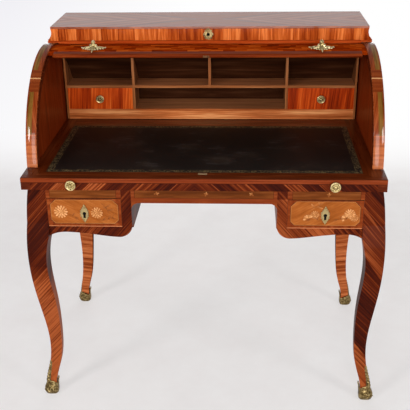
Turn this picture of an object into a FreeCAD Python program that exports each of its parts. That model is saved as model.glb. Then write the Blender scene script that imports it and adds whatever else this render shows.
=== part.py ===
import FreeCAD, Part
import os
import re
import Sketcher

# Cylinder desk on cabriole legs, in millimetres.
# Every sum below is worked out in the case's own frame: x from the middle, y back from the front of the
# lower case, z up from the floor. FRONT then moves each piece so that the origin lies under the middle
# of the whole desk, with the writing slide drawn out as it rests.

SIZES = {
    # lower case
    "case_width": 961,
    "rim_radius": 290,
    "back_room": 20,
    "writing_height": 765,
    "side_thick": 18,
    "front_thick": 22,
    "back_thick": 14,
    "board_thick": 12,
    "knee_half": 201,
    "knee_drop": 68,
    "knee_round": 20,
    "stile_width": 28,
    "rail_height": 54,
    "drawer_height": 87,
    # apron edge
    "dip_drop": 32,
    "arch_drop": 18,
    "spring_drop": 30,
    "apron_corner": 38,
    "apron_crest": 65,
    # cabriole legs
    "post_width": 43,
    "bow_start_share": 0.8208,
    "bow_share": 0.684,
    "bow_out": 20,
    "bow_forward": 22,
    "bow_width": 52,
    "shin_share": 0.4815,
    "shin_out": 11,
    "shin_forward": 12,
    "shin_width": 51,
    "ankle_share": 0.2804,
    "ankle_in": 2,
    "ankle_width": 37,
    "instep_share": 0.1505,
    "instep_out": 5,
    "instep_width": 32,
    "foot_height": 45,
    "foot_out": 16,
    "foot_width": 27,
    "foot_end": 22,
    "foot_set": 33,
    "leg_flat": 0.62,
    # brass sabots
    "leaf_height": 126,
    "leaf_out": 9,
    "toe_height": 46,
    "toe_out": 28,
    "sole_out": 20,
    "heel_in": 15,
    "lip_in": 23,
    "lip_height": 66,
    "socket_gap": 0.2,
    # lower drawers
    "drawer_gap": 0.7,
    "run_gap": 0.3,
    "front_board": 18,
    "tray_side": 9,
    "tray_floor": 6,
    "tray_drop": 12,
    "drawer_room": 28,
    # writing slide
    "slide_depth": 34,
    "slide_board": 20,
    "slide_out": 71,
    "slide_travel_in": 70,
    "lip_under": 25,
    "slide_over": 1.5,
    "rail_thick": 24,
    "rail_round": 4,
    "leather_margin": 58,
    "leather_front": 46,
    "leather_back": 79,
    "leather_thick": 2,
    "knob_spread": 347,
    "knob_radius": 14,
    "knob_reach": 16,
    "knob_petals": 12,
    "plate_share": 0.75,
    "neck_share": 0.4,
    "strike_back": 33,
    "strike_half": 12,
    "strike_width": 8,
    "strike_thick": 0.6,
    "runner_width": 32,
    # upper sides, rims and guides
    "axis_drop": 20,
    "rim_thick": 5,
    "rim_width": 29,
    "rim_lift": 1.5,
    "groove_gap": 0.6,
    "guide_thick": 8,
    "top_drop": 15.5,
    # cylinder
    "shell_thick": 12,
    "shell_end_gap": 1,
    "lead_angle": 77,
    "nose_angle": 4.5,
    "nose_tip": 1.2,
    "nose_gap": 13.5,
    "shell_angle": 102.5,
    "stop_angle": 0.6,
    "stop_thick_angle": 2,
    "handle_angle": 85.6,
    "handle_spread": 327,
    "handle_reach": 22,
    "handle_half": 35,
    "handle_leaf": 13,
    "handle_thick": 5,
    "handle_knob_radius": 8,
    "lock_half": 9,
    "lock_thick": 0.8,
    "bolt_half": 5,
    "bolt_reach": 2.4,
    # top box and frieze drawer
    "bead_gap": 1.615,
    "bead_out": 7,
    "bead_round": 4,
    "floor_thick": 10,
    "frieze_height": 35.5,
    "top_thick": 6,
    "top_in": 6,
    "flare_out": 3.5,
    "flare_foot": 3,
    "end_thick": 30.5,
    "frieze_front": 14,
    "frieze_side": 7,
    "frieze_bottom": 4,
    "frieze_drop": 6,
    "frieze_room": 6,
    # pigeonhole unit
    "unit_share": 0.4724,
    "unit_side_gap": 5.5,
    "unit_gap": 1.8,
    "unit_wall": 6,
    "unit_back": 4,
    "unit_seam": 0.2,
    "base_height": 32.5,
    "base_thick": 10,
    "unit_floor": 8,
    "shelf_height": 69,
    "shelf_thick": 8,
    "divider_spread": 240,
    "divider_thick": 8,
    "bearer_back": 32,
    "bearer_gap": 3,
    "bearer_room": 41,
    # small drawers
    "small_front": 10,
    "small_gap": 0.6,
    "small_side": 6,
    "small_floor": 4,
    "small_drop": 12,
    "small_room": 4,
    "small_knob_radius": 13,
    "small_knob_reach": 15,
    # locks and escutcheons
    "plate_half_width": 11,
    "plate_half_height": 22,
    "plate_thick": 2,
    "keyhole_radius": 3.6,
    "keyhole_width": 4.4,
    "keyhole_drop": 12,
    "lock_width": 50,
    "lock_height": 26,
    "lock_depth": 9,
    "frieze_plate_half_width": 13,
    "frieze_plate_half_height": 15,
}

# Sizes that follow from others, so that neighbours keep together when one of them changes
FOLLOWING = {
    "drawer_top": "writing_height - slide_depth - rail_height",
    "drawer_low": "drawer_top - drawer_height",
    "knee_height": "writing_height - slide_depth - knee_drop",
    "apron_dip": "drawer_low - dip_drop",
    "apron_arch": "drawer_low - arch_drop",
    "apron_spring": "drawer_low - spring_drop",
    "bow_start": "(writing_height - slide_depth) * bow_start_share",
    "bow_height": "(writing_height - slide_depth) * bow_share",
    "shin_height": "(writing_height - slide_depth) * shin_share",
    "ankle_height": "(writing_height - slide_depth) * ankle_share",
    "instep_height": "(writing_height - slide_depth) * instep_share",
    "drawer_length": "2 * rim_radius + back_room - back_thick - drawer_room - front_board",
    "leather_half": "case_width / 2 + slide_over - leather_margin",
    "bearer_front": "2 * rim_radius + back_room - back_thick - bearer_room - bearer_back",
    "leather_depth": "bearer_front - bearer_gap - slide_travel_in + slide_out - leather_front - leather_back",
    "nose_half": "case_width / 2 - rim_width - nose_gap",
    "unit_half": "case_width / 2 - side_thick - unit_side_gap",
    "shell_cross": "sqrt((rim_radius - rim_thick - groove_gap) ^ 2 - (rim_radius - top_drop) ^ 2)",
    "top_depth": "rim_radius + back_room - shell_cross - bead_gap - bead_out",
    "frieze_length": "top_depth - back_thick - frieze_room",
}

doc = FreeCAD.newDocument("CylinderDesk")
sheet = doc.addObject("Spreadsheet::Sheet", "Sizes")
cells = {name: str(value) for name, value in SIZES.items()}
cells.update({name: "=" + rule for name, rule in FOLLOWING.items()})
for row, (name, content) in enumerate(cells.items(), start=1):
    sheet.set(f"A{row}", name)
    sheet.set(f"B{row}", content)
    sheet.setAlias(f"B{row}", name)
doc.recompute()

# Places that several pieces share, as sums of the sizes in the sheet
HALF = "(case_width / 2)"
INSIDE = "(case_width / 2 - side_thick)"
POST_IN = "(case_width / 2 - post_width)"
DEPTH = "(2 * rim_radius + back_room)"
BACK_IN = f"({DEPTH} - back_thick)"
CASE_TOP = "(writing_height - slide_depth)"
AXIS_Y = "rim_radius"
AXIS_Z = "(writing_height - axis_drop)"
RIM_LOW = "(writing_height + rim_lift)"
RIM_IN = "(rim_radius - rim_thick)"
SHELL_OUT = f"({RIM_IN} - groove_gap)"
SHELL_IN = f"({SHELL_OUT} - shell_thick)"
GUIDE_OUT = f"({SHELL_IN} - groove_gap)"
GUIDE_IN = f"({GUIDE_OUT} - guide_thick)"
TOP_LOW = f"({AXIS_Z} + rim_radius - top_drop)"
FLOOR_TOP = f"({TOP_LOW} + floor_thick)"
TOP_UNDER = f"({FLOOR_TOP} + frieze_height)"
TOP_FRONT = f"({DEPTH} - top_depth)"
BEAD_FRONT = f"({TOP_FRONT} - bead_out)"
SLIDE_HALF = f"({HALF} + slide_over)"
BOARD_LOW = "(writing_height - slide_board)"
UNIT_FRONT = f"({AXIS_Y} + rim_radius * unit_share)"
UNIT_OUT = f"({GUIDE_IN} - unit_gap)"
UNIT_IN = f"({UNIT_OUT} - unit_back)"
UNIT_INSIDE = "(unit_half - unit_wall)"
BASE_TOP = f"({RIM_LOW} + base_height)"
SHELF_LOW = f"({BASE_TOP} + shelf_height)"
SHELF_TOP = f"({SHELF_LOW} + shelf_thick)"
TRAIL_ANGLE = "(lead_angle + shell_angle)"
FRONT = f"((slide_out + knob_reach - {DEPTH} - bow_forward) / 2)"

pieces = []


def tied(text):
    """The same sum, with each size read from the sheet."""
    return re.sub(r"[a-z]+(?:_[a-z]+)+", r"Sizes.\g<0>", text)


def number(text):
    """The present value of a sum of sizes."""
    return float(sheet.evalExpression(text))


def spot(pair):
    """A point of a sketch from two sums."""
    return FreeCAD.Vector(number(pair[0]), number(pair[1]), 0)


def seat(piece, x="0", y="0", z="0"):
    """Places a piece by sums of sizes."""
    for axis, text in zip("xyz", (x, y, z)):
        piece.setExpression(f"Placement.Base.{axis}", tied(text))
    return piece


def keep(piece, label):
    """Counts a finished piece as a sub-part of the desk."""
    piece.Label = label
    pieces.append(piece)
    return piece


def settle(piece, label):
    """Moves a piece made in the case's frame to the desk's own origin, and keeps it."""
    return keep(seat(piece, y=FRONT), label)


def block(name, across, deep, tall, forward="0"):
    """A rectangular board between two faces on each axis."""
    box = doc.addObject("Part::Box", name)
    for side, (low, high) in zip(("Length", "Width", "Height"), (across, deep, tall)):
        box.setExpression(side, tied(f"({high}) - ({low})"))
    return seat(box, across[0], f"{forward} + ({deep[0]})", tall[0])


def board(label, across, deep, tall):
    """A plain board that is a sub-part by itself."""
    return keep(block(label, across, deep, tall, FRONT), label)


def outline(sketch, start, *runs):
    """Draws a closed outline. A run of one point is a line, of two an arc, of more a smooth curve."""
    here = start
    ends = []
    base = sketch.GeometryCount
    for run in runs + ((start,),):
        if spot(here).distanceToPoint(spot(run[-1])) < 1e-6:
            continue
        points = [spot(here)] + [spot(pair) for pair in run]
        if len(run) == 1:
            sketch.addGeometry(Part.LineSegment(*points), False)
        elif len(run) == 2:
            sketch.addGeometry(Part.Arc(*points), False)
        else:
            curve = Part.BSplineCurve()
            curve.interpolate(points)
            sketch.addGeometry(curve, False)
        ends.append((here, run[-1], len(run) > 1))
        here = run[-1]
    for index, (first, last, curved) in enumerate(ends):
        if curved:
            continue
        following = (index + 1) % len(ends)
        pin(sketch, base + index, 1, first)
        if ends[following][2]:
            pin(sketch, base + index, 2, last)
        else:
            sketch.addConstraint(Sketcher.Constraint("Coincident", base + index, 2, base + following, 1))


def pin(sketch, index, end, pair):
    """Holds one end of a line at a place given by two sums."""
    for kind, text, value in zip(("DistanceX", "DistanceY"), pair, spot(pair)):
        held = sketch.addConstraint(Sketcher.Constraint(kind, -1, 1, index, end, value))
        sketch.setExpression(f"Constraints[{held}]", tied(text))


def new_sketch(body, name, role):
    """An empty sketch on one of a body's own planes."""
    sketch = body.newObject("Sketcher::SketchObject", name)
    plane = [item for item in body.Origin.OriginFeatures if item.Role == role][0]
    sketch.AttachmentSupport = [(plane, "")]
    sketch.MapMode = "FlatFace"
    return sketch


def slab(name, role, thick, start, *runs):
    """A panel sawn to an outline: YZ grows along +x, XZ along +y and XY along +z."""
    body = doc.addObject("PartDesign::Body", name)
    sketch = new_sketch(body, name + "_outline", role + "_Plane")
    outline(sketch, start, *runs)
    pad = body.newObject("PartDesign::Pad", name + "_pad")
    pad.Profile = sketch
    pad.setExpression("Length", tied(thick))
    pad.Reversed = role == "XZ"
    return body


def combine(kind, name, base, tool):
    """A boolean of two pieces."""
    result = doc.addObject(f"Part::{kind}", name)
    result.Base = base
    result.Tool = tool
    return result


def group(label, *members):
    """Like pieces that share one node as separate solids."""
    bundle = doc.addObject("Part::Compound", label)
    bundle.Links = list(members)
    return keep(bundle, label)


def mirrored(name, source, normal=(1, 0, 0), middle="0"):
    """The same piece for the other side, across a plane through the desk's middle."""
    other = doc.addObject("Part::Mirroring", name)
    other.Source = source
    other.Normal = FreeCAD.Vector(*normal)
    other.setExpression("Base.y", tied(middle))
    return other


def both_sides(stem, piece):
    """Keeps a right-hand piece and its mirrored left-hand one."""
    keep(piece, stem + "_right")
    keep(mirrored(stem + "_left", piece), stem + "_left")


def polar(radius, angle):
    """A point about the cylinder's axis: 0 degrees faces the sitter, 90 is straight up."""
    return (f"{AXIS_Y} - ({radius}) * cos({angle})", f"{AXIS_Z} + ({radius}) * sin({angle})")


def lift_angle(radius, height):
    """The angle at which a circle about the axis rises past a height, on the sitter's side."""
    return f"(asin((({height}) - {AXIS_Z}) / ({radius})) / (1 deg))"


def depth_angle(radius, depth):
    """The angle at which a circle about the axis passes a depth behind the axis, over the top."""
    return f"(90 + asin((({depth}) - {AXIS_Y}) / ({radius})) / (1 deg))"


def arc(radius, start, end):
    """An arc about the axis as a run of two points."""
    return polar(radius, f"({start} + {end}) / 2"), polar(radius, end)


# Cabriole legs: each is sawn from a square post by two outlines, one from the front and one from the side.

def leg_curves(view, grow):
    """The outer edge from the top down and the inner edge from the foot up, as (outward, height) sums."""
    bow = "bow_out" if view == "front" else "bow_forward"
    shin = "shin_out" if view == "front" else "shin_forward - foot_set / 4"
    top = CASE_TOP if view == "front" else "bow_start"
    back = "0" if view == "front" else "foot_set"
    share = "1" if view == "front" else "leg_flat"
    stations = [
        (bow, "bow_width", "bow_height"),
        (shin, f"shin_width * {share}", "shin_height"),
        (f"(-ankle_in - {back} * 2 / 3)", f"ankle_width * {share}", "ankle_height"),
        (f"(instep_out - {back})", f"instep_width * {share}", "instep_height"),
        (f"(foot_out - {back})", f"foot_width * {share}", "foot_height"),
        (f"(foot_out - {back})", f"foot_width * {share}", "foot_end"),
    ]
    outer = [(grow, top)] + [(f"{out} + {grow}", height) for out, width, height in stations]
    inner = [(f"{out} - {width} - {grow}", height) for out, width, height in reversed(stations)]
    inner.append((f"-post_width - {grow}", "apron_spring"))
    return outer, inner


def leg_view(name, view, grow):
    """One of the two sawn outlines of the front left leg, padded right through the post."""
    def place(pair):
        if view == "front":
            return (f"-{HALF} - ({pair[0]})", pair[1])
        return (f"-({pair[0]})", pair[1])
    outer, inner = leg_curves(view, grow)
    outer = [place(pair) for pair in outer]
    inner = [place(pair) for pair in inner]
    top_out = place((grow, CASE_TOP))
    top_in = place((f"-post_width - {grow}", CASE_TOP))
    runs = [tuple(outer[1:]), (inner[0],), tuple(inner[1:]), (top_in,), (top_out,)]
    role = "XZ" if view == "front" else "YZ"
    saw = slab(name, role, "4 * post_width", outer[0], *runs)
    if view == "front":
        return seat(saw, y="-post_width")
    return seat(saw, x=f"-{HALF} - post_width")


def sawn_leg(name, grow):
    """The post left after both cuts."""
    front_cut = leg_view(name + "_front", "front", grow)
    side_cut = leg_view(name + "_side", "side", grow)
    return combine("Common", name, front_cut, side_cut)


leg = settle(sawn_leg("leg_front_left", "0"), "leg_front_left")
keep(mirrored("leg_front_right", leg), "leg_front_right")
CASE_MIDDLE = f"{FRONT} + {DEPTH} / 2"
back_leg = keep(mirrored("leg_back_left", leg, (0, 1, 0), CASE_MIDDLE), "leg_back_left")
keep(mirrored("leg_back_right", back_leg), "leg_back_right")


# Brass sabots: a cast shoe over each foot, with a scrolled toe and a leaf up the outer corner.

def sabot_view(view):
    """The shoe's outline from the front or the side."""
    thin = "0" if view == "front" else "foot_width * (1 - leg_flat)"
    def place(out, height):
        if view == "front":
            return (f"-{HALF} - ({out})", height)
        return (f"foot_set - ({out})", height)
    toe = (place("toe_out", "toe_height"), place("(toe_out + sole_out) / 2", "toe_height / 6"),
           place("sole_out", "0"))
    heel = (place(f"{thin} - (2 * heel_in + lip_in) / 3", "(toe_height + lip_height) / 2"),
            place(f"{thin} - lip_in", "lip_height"))
    role = "XZ" if view == "front" else "YZ"
    shoe = slab("sabot_" + view, role, "4 * post_width", place("leaf_out", "leaf_height"),
                toe, (place(f"{thin} - heel_in", "0"),), (place(f"{thin} - heel_in", "toe_height"),), heel)
    if view == "front":
        return seat(shoe, y="-post_width")
    return seat(shoe, x=f"-{HALF} - post_width")


shoe = combine("Common", "sabot_solid", sabot_view("front"), sabot_view("side"))
sabot = seat(combine("Cut", "sabot_front_left", shoe, sawn_leg("sabot_socket", "socket_gap")), y=FRONT)
sabot_back = mirrored("sabot_back_left", sabot, (0, 1, 0), CASE_MIDDLE)
group("sabots", sabot, mirrored("sabot_front_right", sabot), sabot_back,
      mirrored("sabot_back_right", sabot_back))

# Lower case front: one rail over the drawers and the knee-hole, and an apron with its stile on each side.
knee_low = "(knee_height - knee_round)"
round_in = "(knee_half - knee_round * (1 - sqrt(0.5)))"
round_up = "(knee_height - knee_round * (1 - sqrt(0.5)))"
rail = slab(
    "front_rail", "XZ", "front_thick", (POST_IN, CASE_TOP),
    ((POST_IN, "drawer_top"),), (("knee_half", "drawer_top"),), (("knee_half", knee_low),),
    ((round_in, round_up), ("knee_half - knee_round", "knee_height")),
    (("knee_round - knee_half", "knee_height"),),
    ((f"-{round_in}", round_up), ("-knee_half", knee_low)),
    (("-knee_half", "drawer_top"),), ((f"-{POST_IN}", "drawer_top"),), ((f"-{POST_IN}", CASE_TOP),))
settle(rail, "front_rail")

STILE_OUT = "(knee_half + stile_width)"
corner_in = "(knee_half + apron_corner * (1 - sqrt(0.5)))"
corner_low = "(apron_dip + apron_corner * (1 - sqrt(0.5)))"
crest = f"({POST_IN} - apron_crest)"
dip_end = "(knee_half + apron_corner)"
apron = slab(
    "apron_right", "XZ", "front_thick", ("knee_half", "drawer_top"),
    ((STILE_OUT, "drawer_top"),), ((STILE_OUT, "drawer_low"),), ((POST_IN, "drawer_low"),),
    ((POST_IN, "apron_spring"),),
    ((f"{POST_IN} - apron_crest / 3", "apron_arch - (apron_arch - apron_spring) / 5"), (crest, "apron_arch"),
     (f"({crest} + {dip_end}) / 2", "(apron_arch + apron_dip) / 2"), (dip_end, "apron_dip")),
    ((corner_in, corner_low), ("knee_half", "apron_dip + apron_corner")))
both_sides("apron", seat(apron, y=FRONT))

# Lower case sides and back, with the same arched lower edge between the legs


def arched_edge(low, high):
    """The curve of a lower edge from one leg to the other, as one run."""
    return (
        (f"{low} + apron_crest / 3", "apron_arch - (apron_arch - apron_spring) / 5"),
        (f"{low} + apron_crest", "apron_arch"),
        (f"({low} + {high}) / 2", "(apron_arch + apron_spring) / 2"),
        (f"{high} - apron_crest", "apron_arch"),
        (f"{high} - apron_crest / 3", "apron_arch - (apron_arch - apron_spring) / 5"),
        (high, "apron_spring"))


POST_BACK = f"({DEPTH} - post_width)"
lower_side = slab(
    "lower_side_right", "YZ", "side_thick", ("post_width", "apron_spring"),
    arched_edge("post_width", POST_BACK), ((POST_BACK, CASE_TOP),), (("post_width", CASE_TOP),))
both_sides("lower_side", seat(lower_side, x=INSIDE, y=FRONT))
lower_back = slab(
    "lower_back", "XZ", "back_thick", (f"-{POST_IN}", "apron_spring"),
    arched_edge(f"-{POST_IN}", POST_IN), ((POST_IN, CASE_TOP),), ((f"-{POST_IN}", CASE_TOP),))
keep(seat(lower_back, y=f"{FRONT} + {BACK_IN}"), "lower_back")

# Inside the lower case: knee-hole sides, drawer bearers with their guides, and the dust board
DUST_LOW = f"({CASE_TOP} - board_thick)"
BEARER_LOW = "(drawer_low - board_thick)"
inner_depth = ("front_thick", BACK_IN)
between_posts = ("post_width", POST_BACK)
knee_side = block("knee_side", ("knee_half", STILE_OUT), inner_depth, (BEARER_LOW, DUST_LOW), FRONT)
group("knee_sides", knee_side, mirrored("knee_side_other", knee_side))
bearer = block("drawer_bearer", (STILE_OUT, POST_IN), inner_depth, (BEARER_LOW, "drawer_low"), FRONT)
group("drawer_bearers", bearer, mirrored("drawer_bearer_other", bearer))
guide_strip = block("drawer_guide", (POST_IN, INSIDE), between_posts,
                    (BEARER_LOW, "drawer_low + board_thick"), FRONT)
group("drawer_guides", guide_strip, mirrored("drawer_guide_other", guide_strip))
board("dust_board", (f"-{POST_IN}", POST_IN), inner_depth, (DUST_LOW, CASE_TOP))

# Upper sides: the front follows the cylinder, and a notch at the foot lets the slide's lip pass under the rim
LIP_BACK = "(slide_travel_in + lip_under + rim_lift)"
panel_start = lift_angle(RIM_IN, RIM_LOW)
panel_end = f"(180 - {lift_angle(RIM_IN, TOP_LOW)})"
side_panel = slab(
    "side_panel_right", "YZ", "side_thick", (LIP_BACK, CASE_TOP),
    ((LIP_BACK, RIM_LOW),), (polar(RIM_IN, panel_start),), arc(RIM_IN, panel_start, panel_end),
    ((DEPTH, TOP_LOW),), ((DEPTH, CASE_TOP),))
both_sides("side_panel", seat(side_panel, x=INSIDE, y=FRONT))

# Rims: the curved facings that cover the edge of each side and overhang the cylinder's ends
RIM_INSIDE = f"({HALF} - rim_width)"
rim_end_in = depth_angle(RIM_IN, BEAD_FRONT)
rim_end_out = depth_angle("rim_radius", BEAD_FRONT)
rim_start_out = lift_angle("rim_radius", RIM_LOW)
rim = slab(
    "rim_right", "YZ", "rim_width", polar("rim_radius", rim_start_out),
    arc("rim_radius", rim_start_out, rim_end_out), (polar(RIM_IN, rim_end_in),),
    arc(RIM_IN, rim_end_in, panel_start))
both_sides("rim", seat(rim, x=RIM_INSIDE, y=FRONT))

# Cylinder guides: an inner strip and a rear outer strip in each side form the groove, with a stop at its end
stop_start = f"({TRAIL_ANGLE} + stop_angle)"
stop_end = f"({stop_start} + stop_thick_angle)"
guide_low_out = lift_angle(GUIDE_OUT, RIM_LOW)
guide_low_in = lift_angle(GUIDE_IN, RIM_LOW)
REAR_OUT = f"({RIM_IN} + guide_thick)"
rear_start = f"(180 - {lift_angle(REAR_OUT, TOP_LOW)})"
cylinder_guide = slab(
    "cylinder_guide_right", "YZ", "rim_width - side_thick", polar(GUIDE_OUT, guide_low_out),
    arc(GUIDE_OUT, guide_low_out, stop_start), (polar(RIM_IN, stop_start),),
    arc(RIM_IN, stop_start, panel_end), (polar(REAR_OUT, rear_start),),
    arc(REAR_OUT, rear_start, stop_end), (polar(GUIDE_IN, stop_end),),
    arc(GUIDE_IN, stop_end, guide_low_in))
both_sides("cylinder_guide", seat(cylinder_guide, x=RIM_INSIDE, y=FRONT))

# Back of the upper case
board("upper_back", (f"-{INSIDE}", INSIDE), (BACK_IN, DEPTH), (CASE_TOP, TOP_LOW))

# Top box: floor with a rounded bead, ends with a hollow flare, back and top board
TOP_HALF = f"({HALF} - top_in)"
FLARE_HALF = f"({HALF} + flare_out)"
END_INSIDE = f"({HALF} - end_thick)"
floor_block = block("top_floor_board", (f"-{FLARE_HALF}", FLARE_HALF), (BEAD_FRONT, DEPTH),
                    (TOP_LOW, FLOOR_TOP))
top_floor = doc.addObject("Part::Fillet", "top_floor")
top_floor.Base = floor_block
doc.recompute()


def front_edges(shape, height):
    """The numbers of a board's front edges along x, at one height or at both."""
    found = []
    lowest = shape.BoundBox.YMin
    for index, edge in enumerate(shape.Edges, start=1):
        box = edge.BoundBox
        level = height is None or abs(box.ZMin - height) < 1e-6
        if box.YMax - lowest < 1e-6 and box.ZMax - box.ZMin < 1e-6 and level:
            found.append(index)
    return found


bead_radius = number("bead_round")
top_floor.Edges = [(index, bead_radius, bead_radius) for index in front_edges(floor_block.Shape, None)]
settle(top_floor, "top_floor")
flare_mid = (f"{TOP_HALF} + (flare_out + top_in) / 5", f"{FLOOR_TOP} + frieze_height / 3")
top_end = slab(
    "top_end_right", "XZ", "top_depth", (END_INSIDE, FLOOR_TOP),
    ((FLARE_HALF, FLOOR_TOP),), ((FLARE_HALF, f"{FLOOR_TOP} + flare_foot"),),
    (flare_mid, (TOP_HALF, TOP_UNDER)), ((END_INSIDE, TOP_UNDER),))
both_sides("top_end", seat(top_end, y=f"{FRONT} + {TOP_FRONT}"))
board("top_back", (f"-{END_INSIDE}", END_INSIDE), (BACK_IN, DEPTH), (FLOOR_TOP, TOP_UNDER))
board("top_board", (f"-{TOP_HALF}", TOP_HALF), (TOP_FRONT, DEPTH), (TOP_UNDER, f"{TOP_UNDER} + top_thick"))

# Pigeonhole unit, whose curved back follows the inside of the cylinder


def unit_arc(radius, low, depth):
    """The unit's curved back from a height up to the depth of its front, as a run."""
    return arc(radius, f"(180 - {lift_angle(radius, low)})", depth_angle(radius, depth))


def unit_profile(name, thick, radius, low):
    """A board of the unit across its depth: straight in front, curved behind."""
    return slab(
        name, "YZ", thick, (UNIT_FRONT, low), (polar(radius, f"180 - {lift_angle(radius, low)}"),),
        unit_arc(radius, low, UNIT_FRONT))


unit_side = seat(unit_profile("unit_side", "unit_wall", UNIT_OUT, RIM_LOW), x=UNIT_INSIDE, y=FRONT)
group("unit_sides", unit_side, mirrored("unit_side_other", unit_side))
curved_back = slab(
    "unit_back", "YZ", f"2 * {UNIT_INSIDE}", polar(UNIT_OUT, f"180 - {lift_angle(UNIT_OUT, RIM_LOW)}"),
    unit_arc(UNIT_OUT, RIM_LOW, UNIT_FRONT), (polar(UNIT_IN, depth_angle(UNIT_IN, UNIT_FRONT)),),
    arc(UNIT_IN, depth_angle(UNIT_IN, UNIT_FRONT), f"(180 - {lift_angle(UNIT_IN, RIM_LOW)})"))
keep(seat(curved_back, x=f"-{UNIT_INSIDE}", y=FRONT), "unit_back")


def unit_reach(height):
    """How far back a level board of the unit goes before it meets the curved back."""
    return f"({AXIS_Y} + sqrt(({UNIT_IN} - unit_seam) ^ 2 - (({height}) - {AXIS_Z}) ^ 2))"


across_unit = (f"-{UNIT_INSIDE}", UNIT_INSIDE)
BASE_BACK = f"({UNIT_FRONT} + base_thick)"
board("unit_base_board", across_unit, (UNIT_FRONT, BASE_BACK), (RIM_LOW, BASE_TOP))
board("unit_floor", across_unit, (BASE_BACK, unit_reach(BASE_TOP)), (f"{BASE_TOP} - unit_floor", BASE_TOP))
board("unit_shelf", across_unit, (UNIT_FRONT, unit_reach(SHELF_TOP)), (SHELF_LOW, SHELF_TOP))
divider_low = "divider_spread - divider_thick / 2"
divider_radius = f"({UNIT_IN} - unit_seam)"
upper = unit_profile("upper_divider", "divider_thick", divider_radius, SHELF_TOP)
seat(upper, x=divider_low, y=FRONT)
middle = unit_profile("middle_divider", "divider_thick", divider_radius, SHELF_TOP)
seat(middle, x="-divider_thick / 2", y=FRONT)
group("upper_dividers", upper, mirrored("upper_divider_other", upper), middle)
lower = block("lower_divider", (divider_low, "divider_spread + divider_thick / 2"),
              (UNIT_FRONT, unit_reach(SHELF_LOW)), (BASE_TOP, SHELF_LOW), FRONT)
group("lower_dividers", lower, mirrored("lower_divider_other", lower))
SLIDE_BACK_IN = "(bearer_front - bearer_gap)"
board("unit_bearer", ("-unit_half", "unit_half"), ("bearer_front", "bearer_front + bearer_back"),
      (CASE_TOP, RIM_LOW))

# Cylinder: the curved shell, whose ends ride in the grooves, and its rounded nose rail
SHELL_HALF = f"({INSIDE} - shell_end_gap)"
SHELL_LEAD = "(lead_angle + nose_angle)"
shell = slab(
    "cylinder_shell", "YZ", f"2 * {SHELL_HALF}", polar(SHELL_OUT, SHELL_LEAD),
    arc(SHELL_OUT, SHELL_LEAD, TRAIL_ANGLE), (polar(SHELL_IN, TRAIL_ANGLE),),
    arc(SHELL_IN, TRAIL_ANGLE, SHELL_LEAD))
keep(seat(shell, x=f"-{SHELL_HALF}", y=FRONT), "cylinder_shell")
lip_angle = "(lead_angle + nose_tip)"
nose = slab(
    "cylinder_nose", "YZ", "2 * nose_half", polar(SHELL_OUT, lip_angle),
    arc(SHELL_OUT, lip_angle, SHELL_LEAD), (polar(SHELL_IN, SHELL_LEAD),),
    arc(SHELL_IN, SHELL_LEAD, lip_angle),
    (polar(f"({SHELL_OUT} + {SHELL_IN}) / 2", "lead_angle"), polar(SHELL_OUT, lip_angle)))
keep(seat(nose, x="-nose_half", y=FRONT), "cylinder_nose")


# Cast knobs: plate, neck and head with as many sides as petals, the head chamfered in front and behind


def petalled(name, radius, low, high):
    """A many-sided disc along z."""
    disc = doc.addObject("Part::Prism", name)
    disc.setExpression("Polygon", tied("knob_petals"))
    disc.setExpression("Circumradius", tied(radius))
    disc.setExpression("Height", tied(f"{high} - {low}"))
    return seat(disc, z=low)


def cast_knob(name, radius, reach):
    """A knob that stands along z on its seat at z = 0."""
    plate = petalled(name + "_plate", f"{radius} * plate_share", "0", f"{reach} / 8")
    neck = petalled(name + "_neck", f"{radius} * neck_share", "0", f"{reach} / 2")
    head = petalled(name + "_head", radius, f"{reach} / 2", f"({reach})")
    doc.recompute()
    rounded = doc.addObject("Part::Chamfer", name + "_rounded")
    rounded.Base = head
    cut = number(f"{reach} / 6")
    rims = [index for index, edge in enumerate(head.Shape.Edges, start=1)
            if edge.BoundBox.ZMax - edge.BoundBox.ZMin < 1e-6]
    rounded.Edges = [(index, cut, cut) for index in rims]
    return combine("Fuse", name, combine("Fuse", name + "_foot", plate, neck), rounded)


def facing_sitter(knob, x, y, z):
    """Turns a knob made along z so that it points to the sitter, and seats it."""
    knob.Placement.Rotation = FreeCAD.Rotation(FreeCAD.Vector(1, 0, 0), 90)
    return seat(knob, x, f"{FRONT} + ({y})", z)


# Writing slide: a board with a full-width lip, its front rail, leather inset, knobs and the lock's strike
RAIL_BACK = "(rail_thick - slide_out)"
LIP_END = "(slide_travel_in + lip_under - slide_out - rim_lift)"
SLIDE_END = f"({SLIDE_BACK_IN} - slide_travel_in)"
BOARD_HALF = f"({INSIDE} - shell_end_gap)"
slide_blank = slab(
    "slide_blank", "XY", "slide_board", (f"-{SLIDE_HALF}", RAIL_BACK),
    ((SLIDE_HALF, RAIL_BACK),), ((SLIDE_HALF, LIP_END),),
    ((BOARD_HALF, LIP_END),), ((BOARD_HALF, SLIDE_END),),
    ((f"-{BOARD_HALF}", SLIDE_END),), ((f"-{BOARD_HALF}", LIP_END),), ((f"-{SLIDE_HALF}", LIP_END),))
seat(slide_blank, z=BOARD_LOW)
LEATHER_LOW = "(writing_height - leather_thick)"
leather_deep = ("leather_front - slide_out", "leather_front + leather_depth - slide_out")
recess = block("leather_recess", ("-leather_half", "leather_half"), leather_deep,
               (LEATHER_LOW, "writing_height + leather_thick"))
settle(combine("Cut", "slide_board", slide_blank, recess), "slide_board")
board("leather_inset", ("-leather_half", "leather_half"), leather_deep, (LEATHER_LOW, "writing_height"))
RAIL_LOW = f"({CASE_TOP} + rim_lift / 3)"
rail_blank = block("slide_rail_blank", (f"-{SLIDE_HALF}", SLIDE_HALF), ("-slide_out", RAIL_BACK),
                   (RAIL_LOW, "writing_height"))
slide_rail = doc.addObject("Part::Fillet", "slide_rail")
slide_rail.Base = rail_blank
doc.recompute()
rail_radius = number("rail_round")
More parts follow.
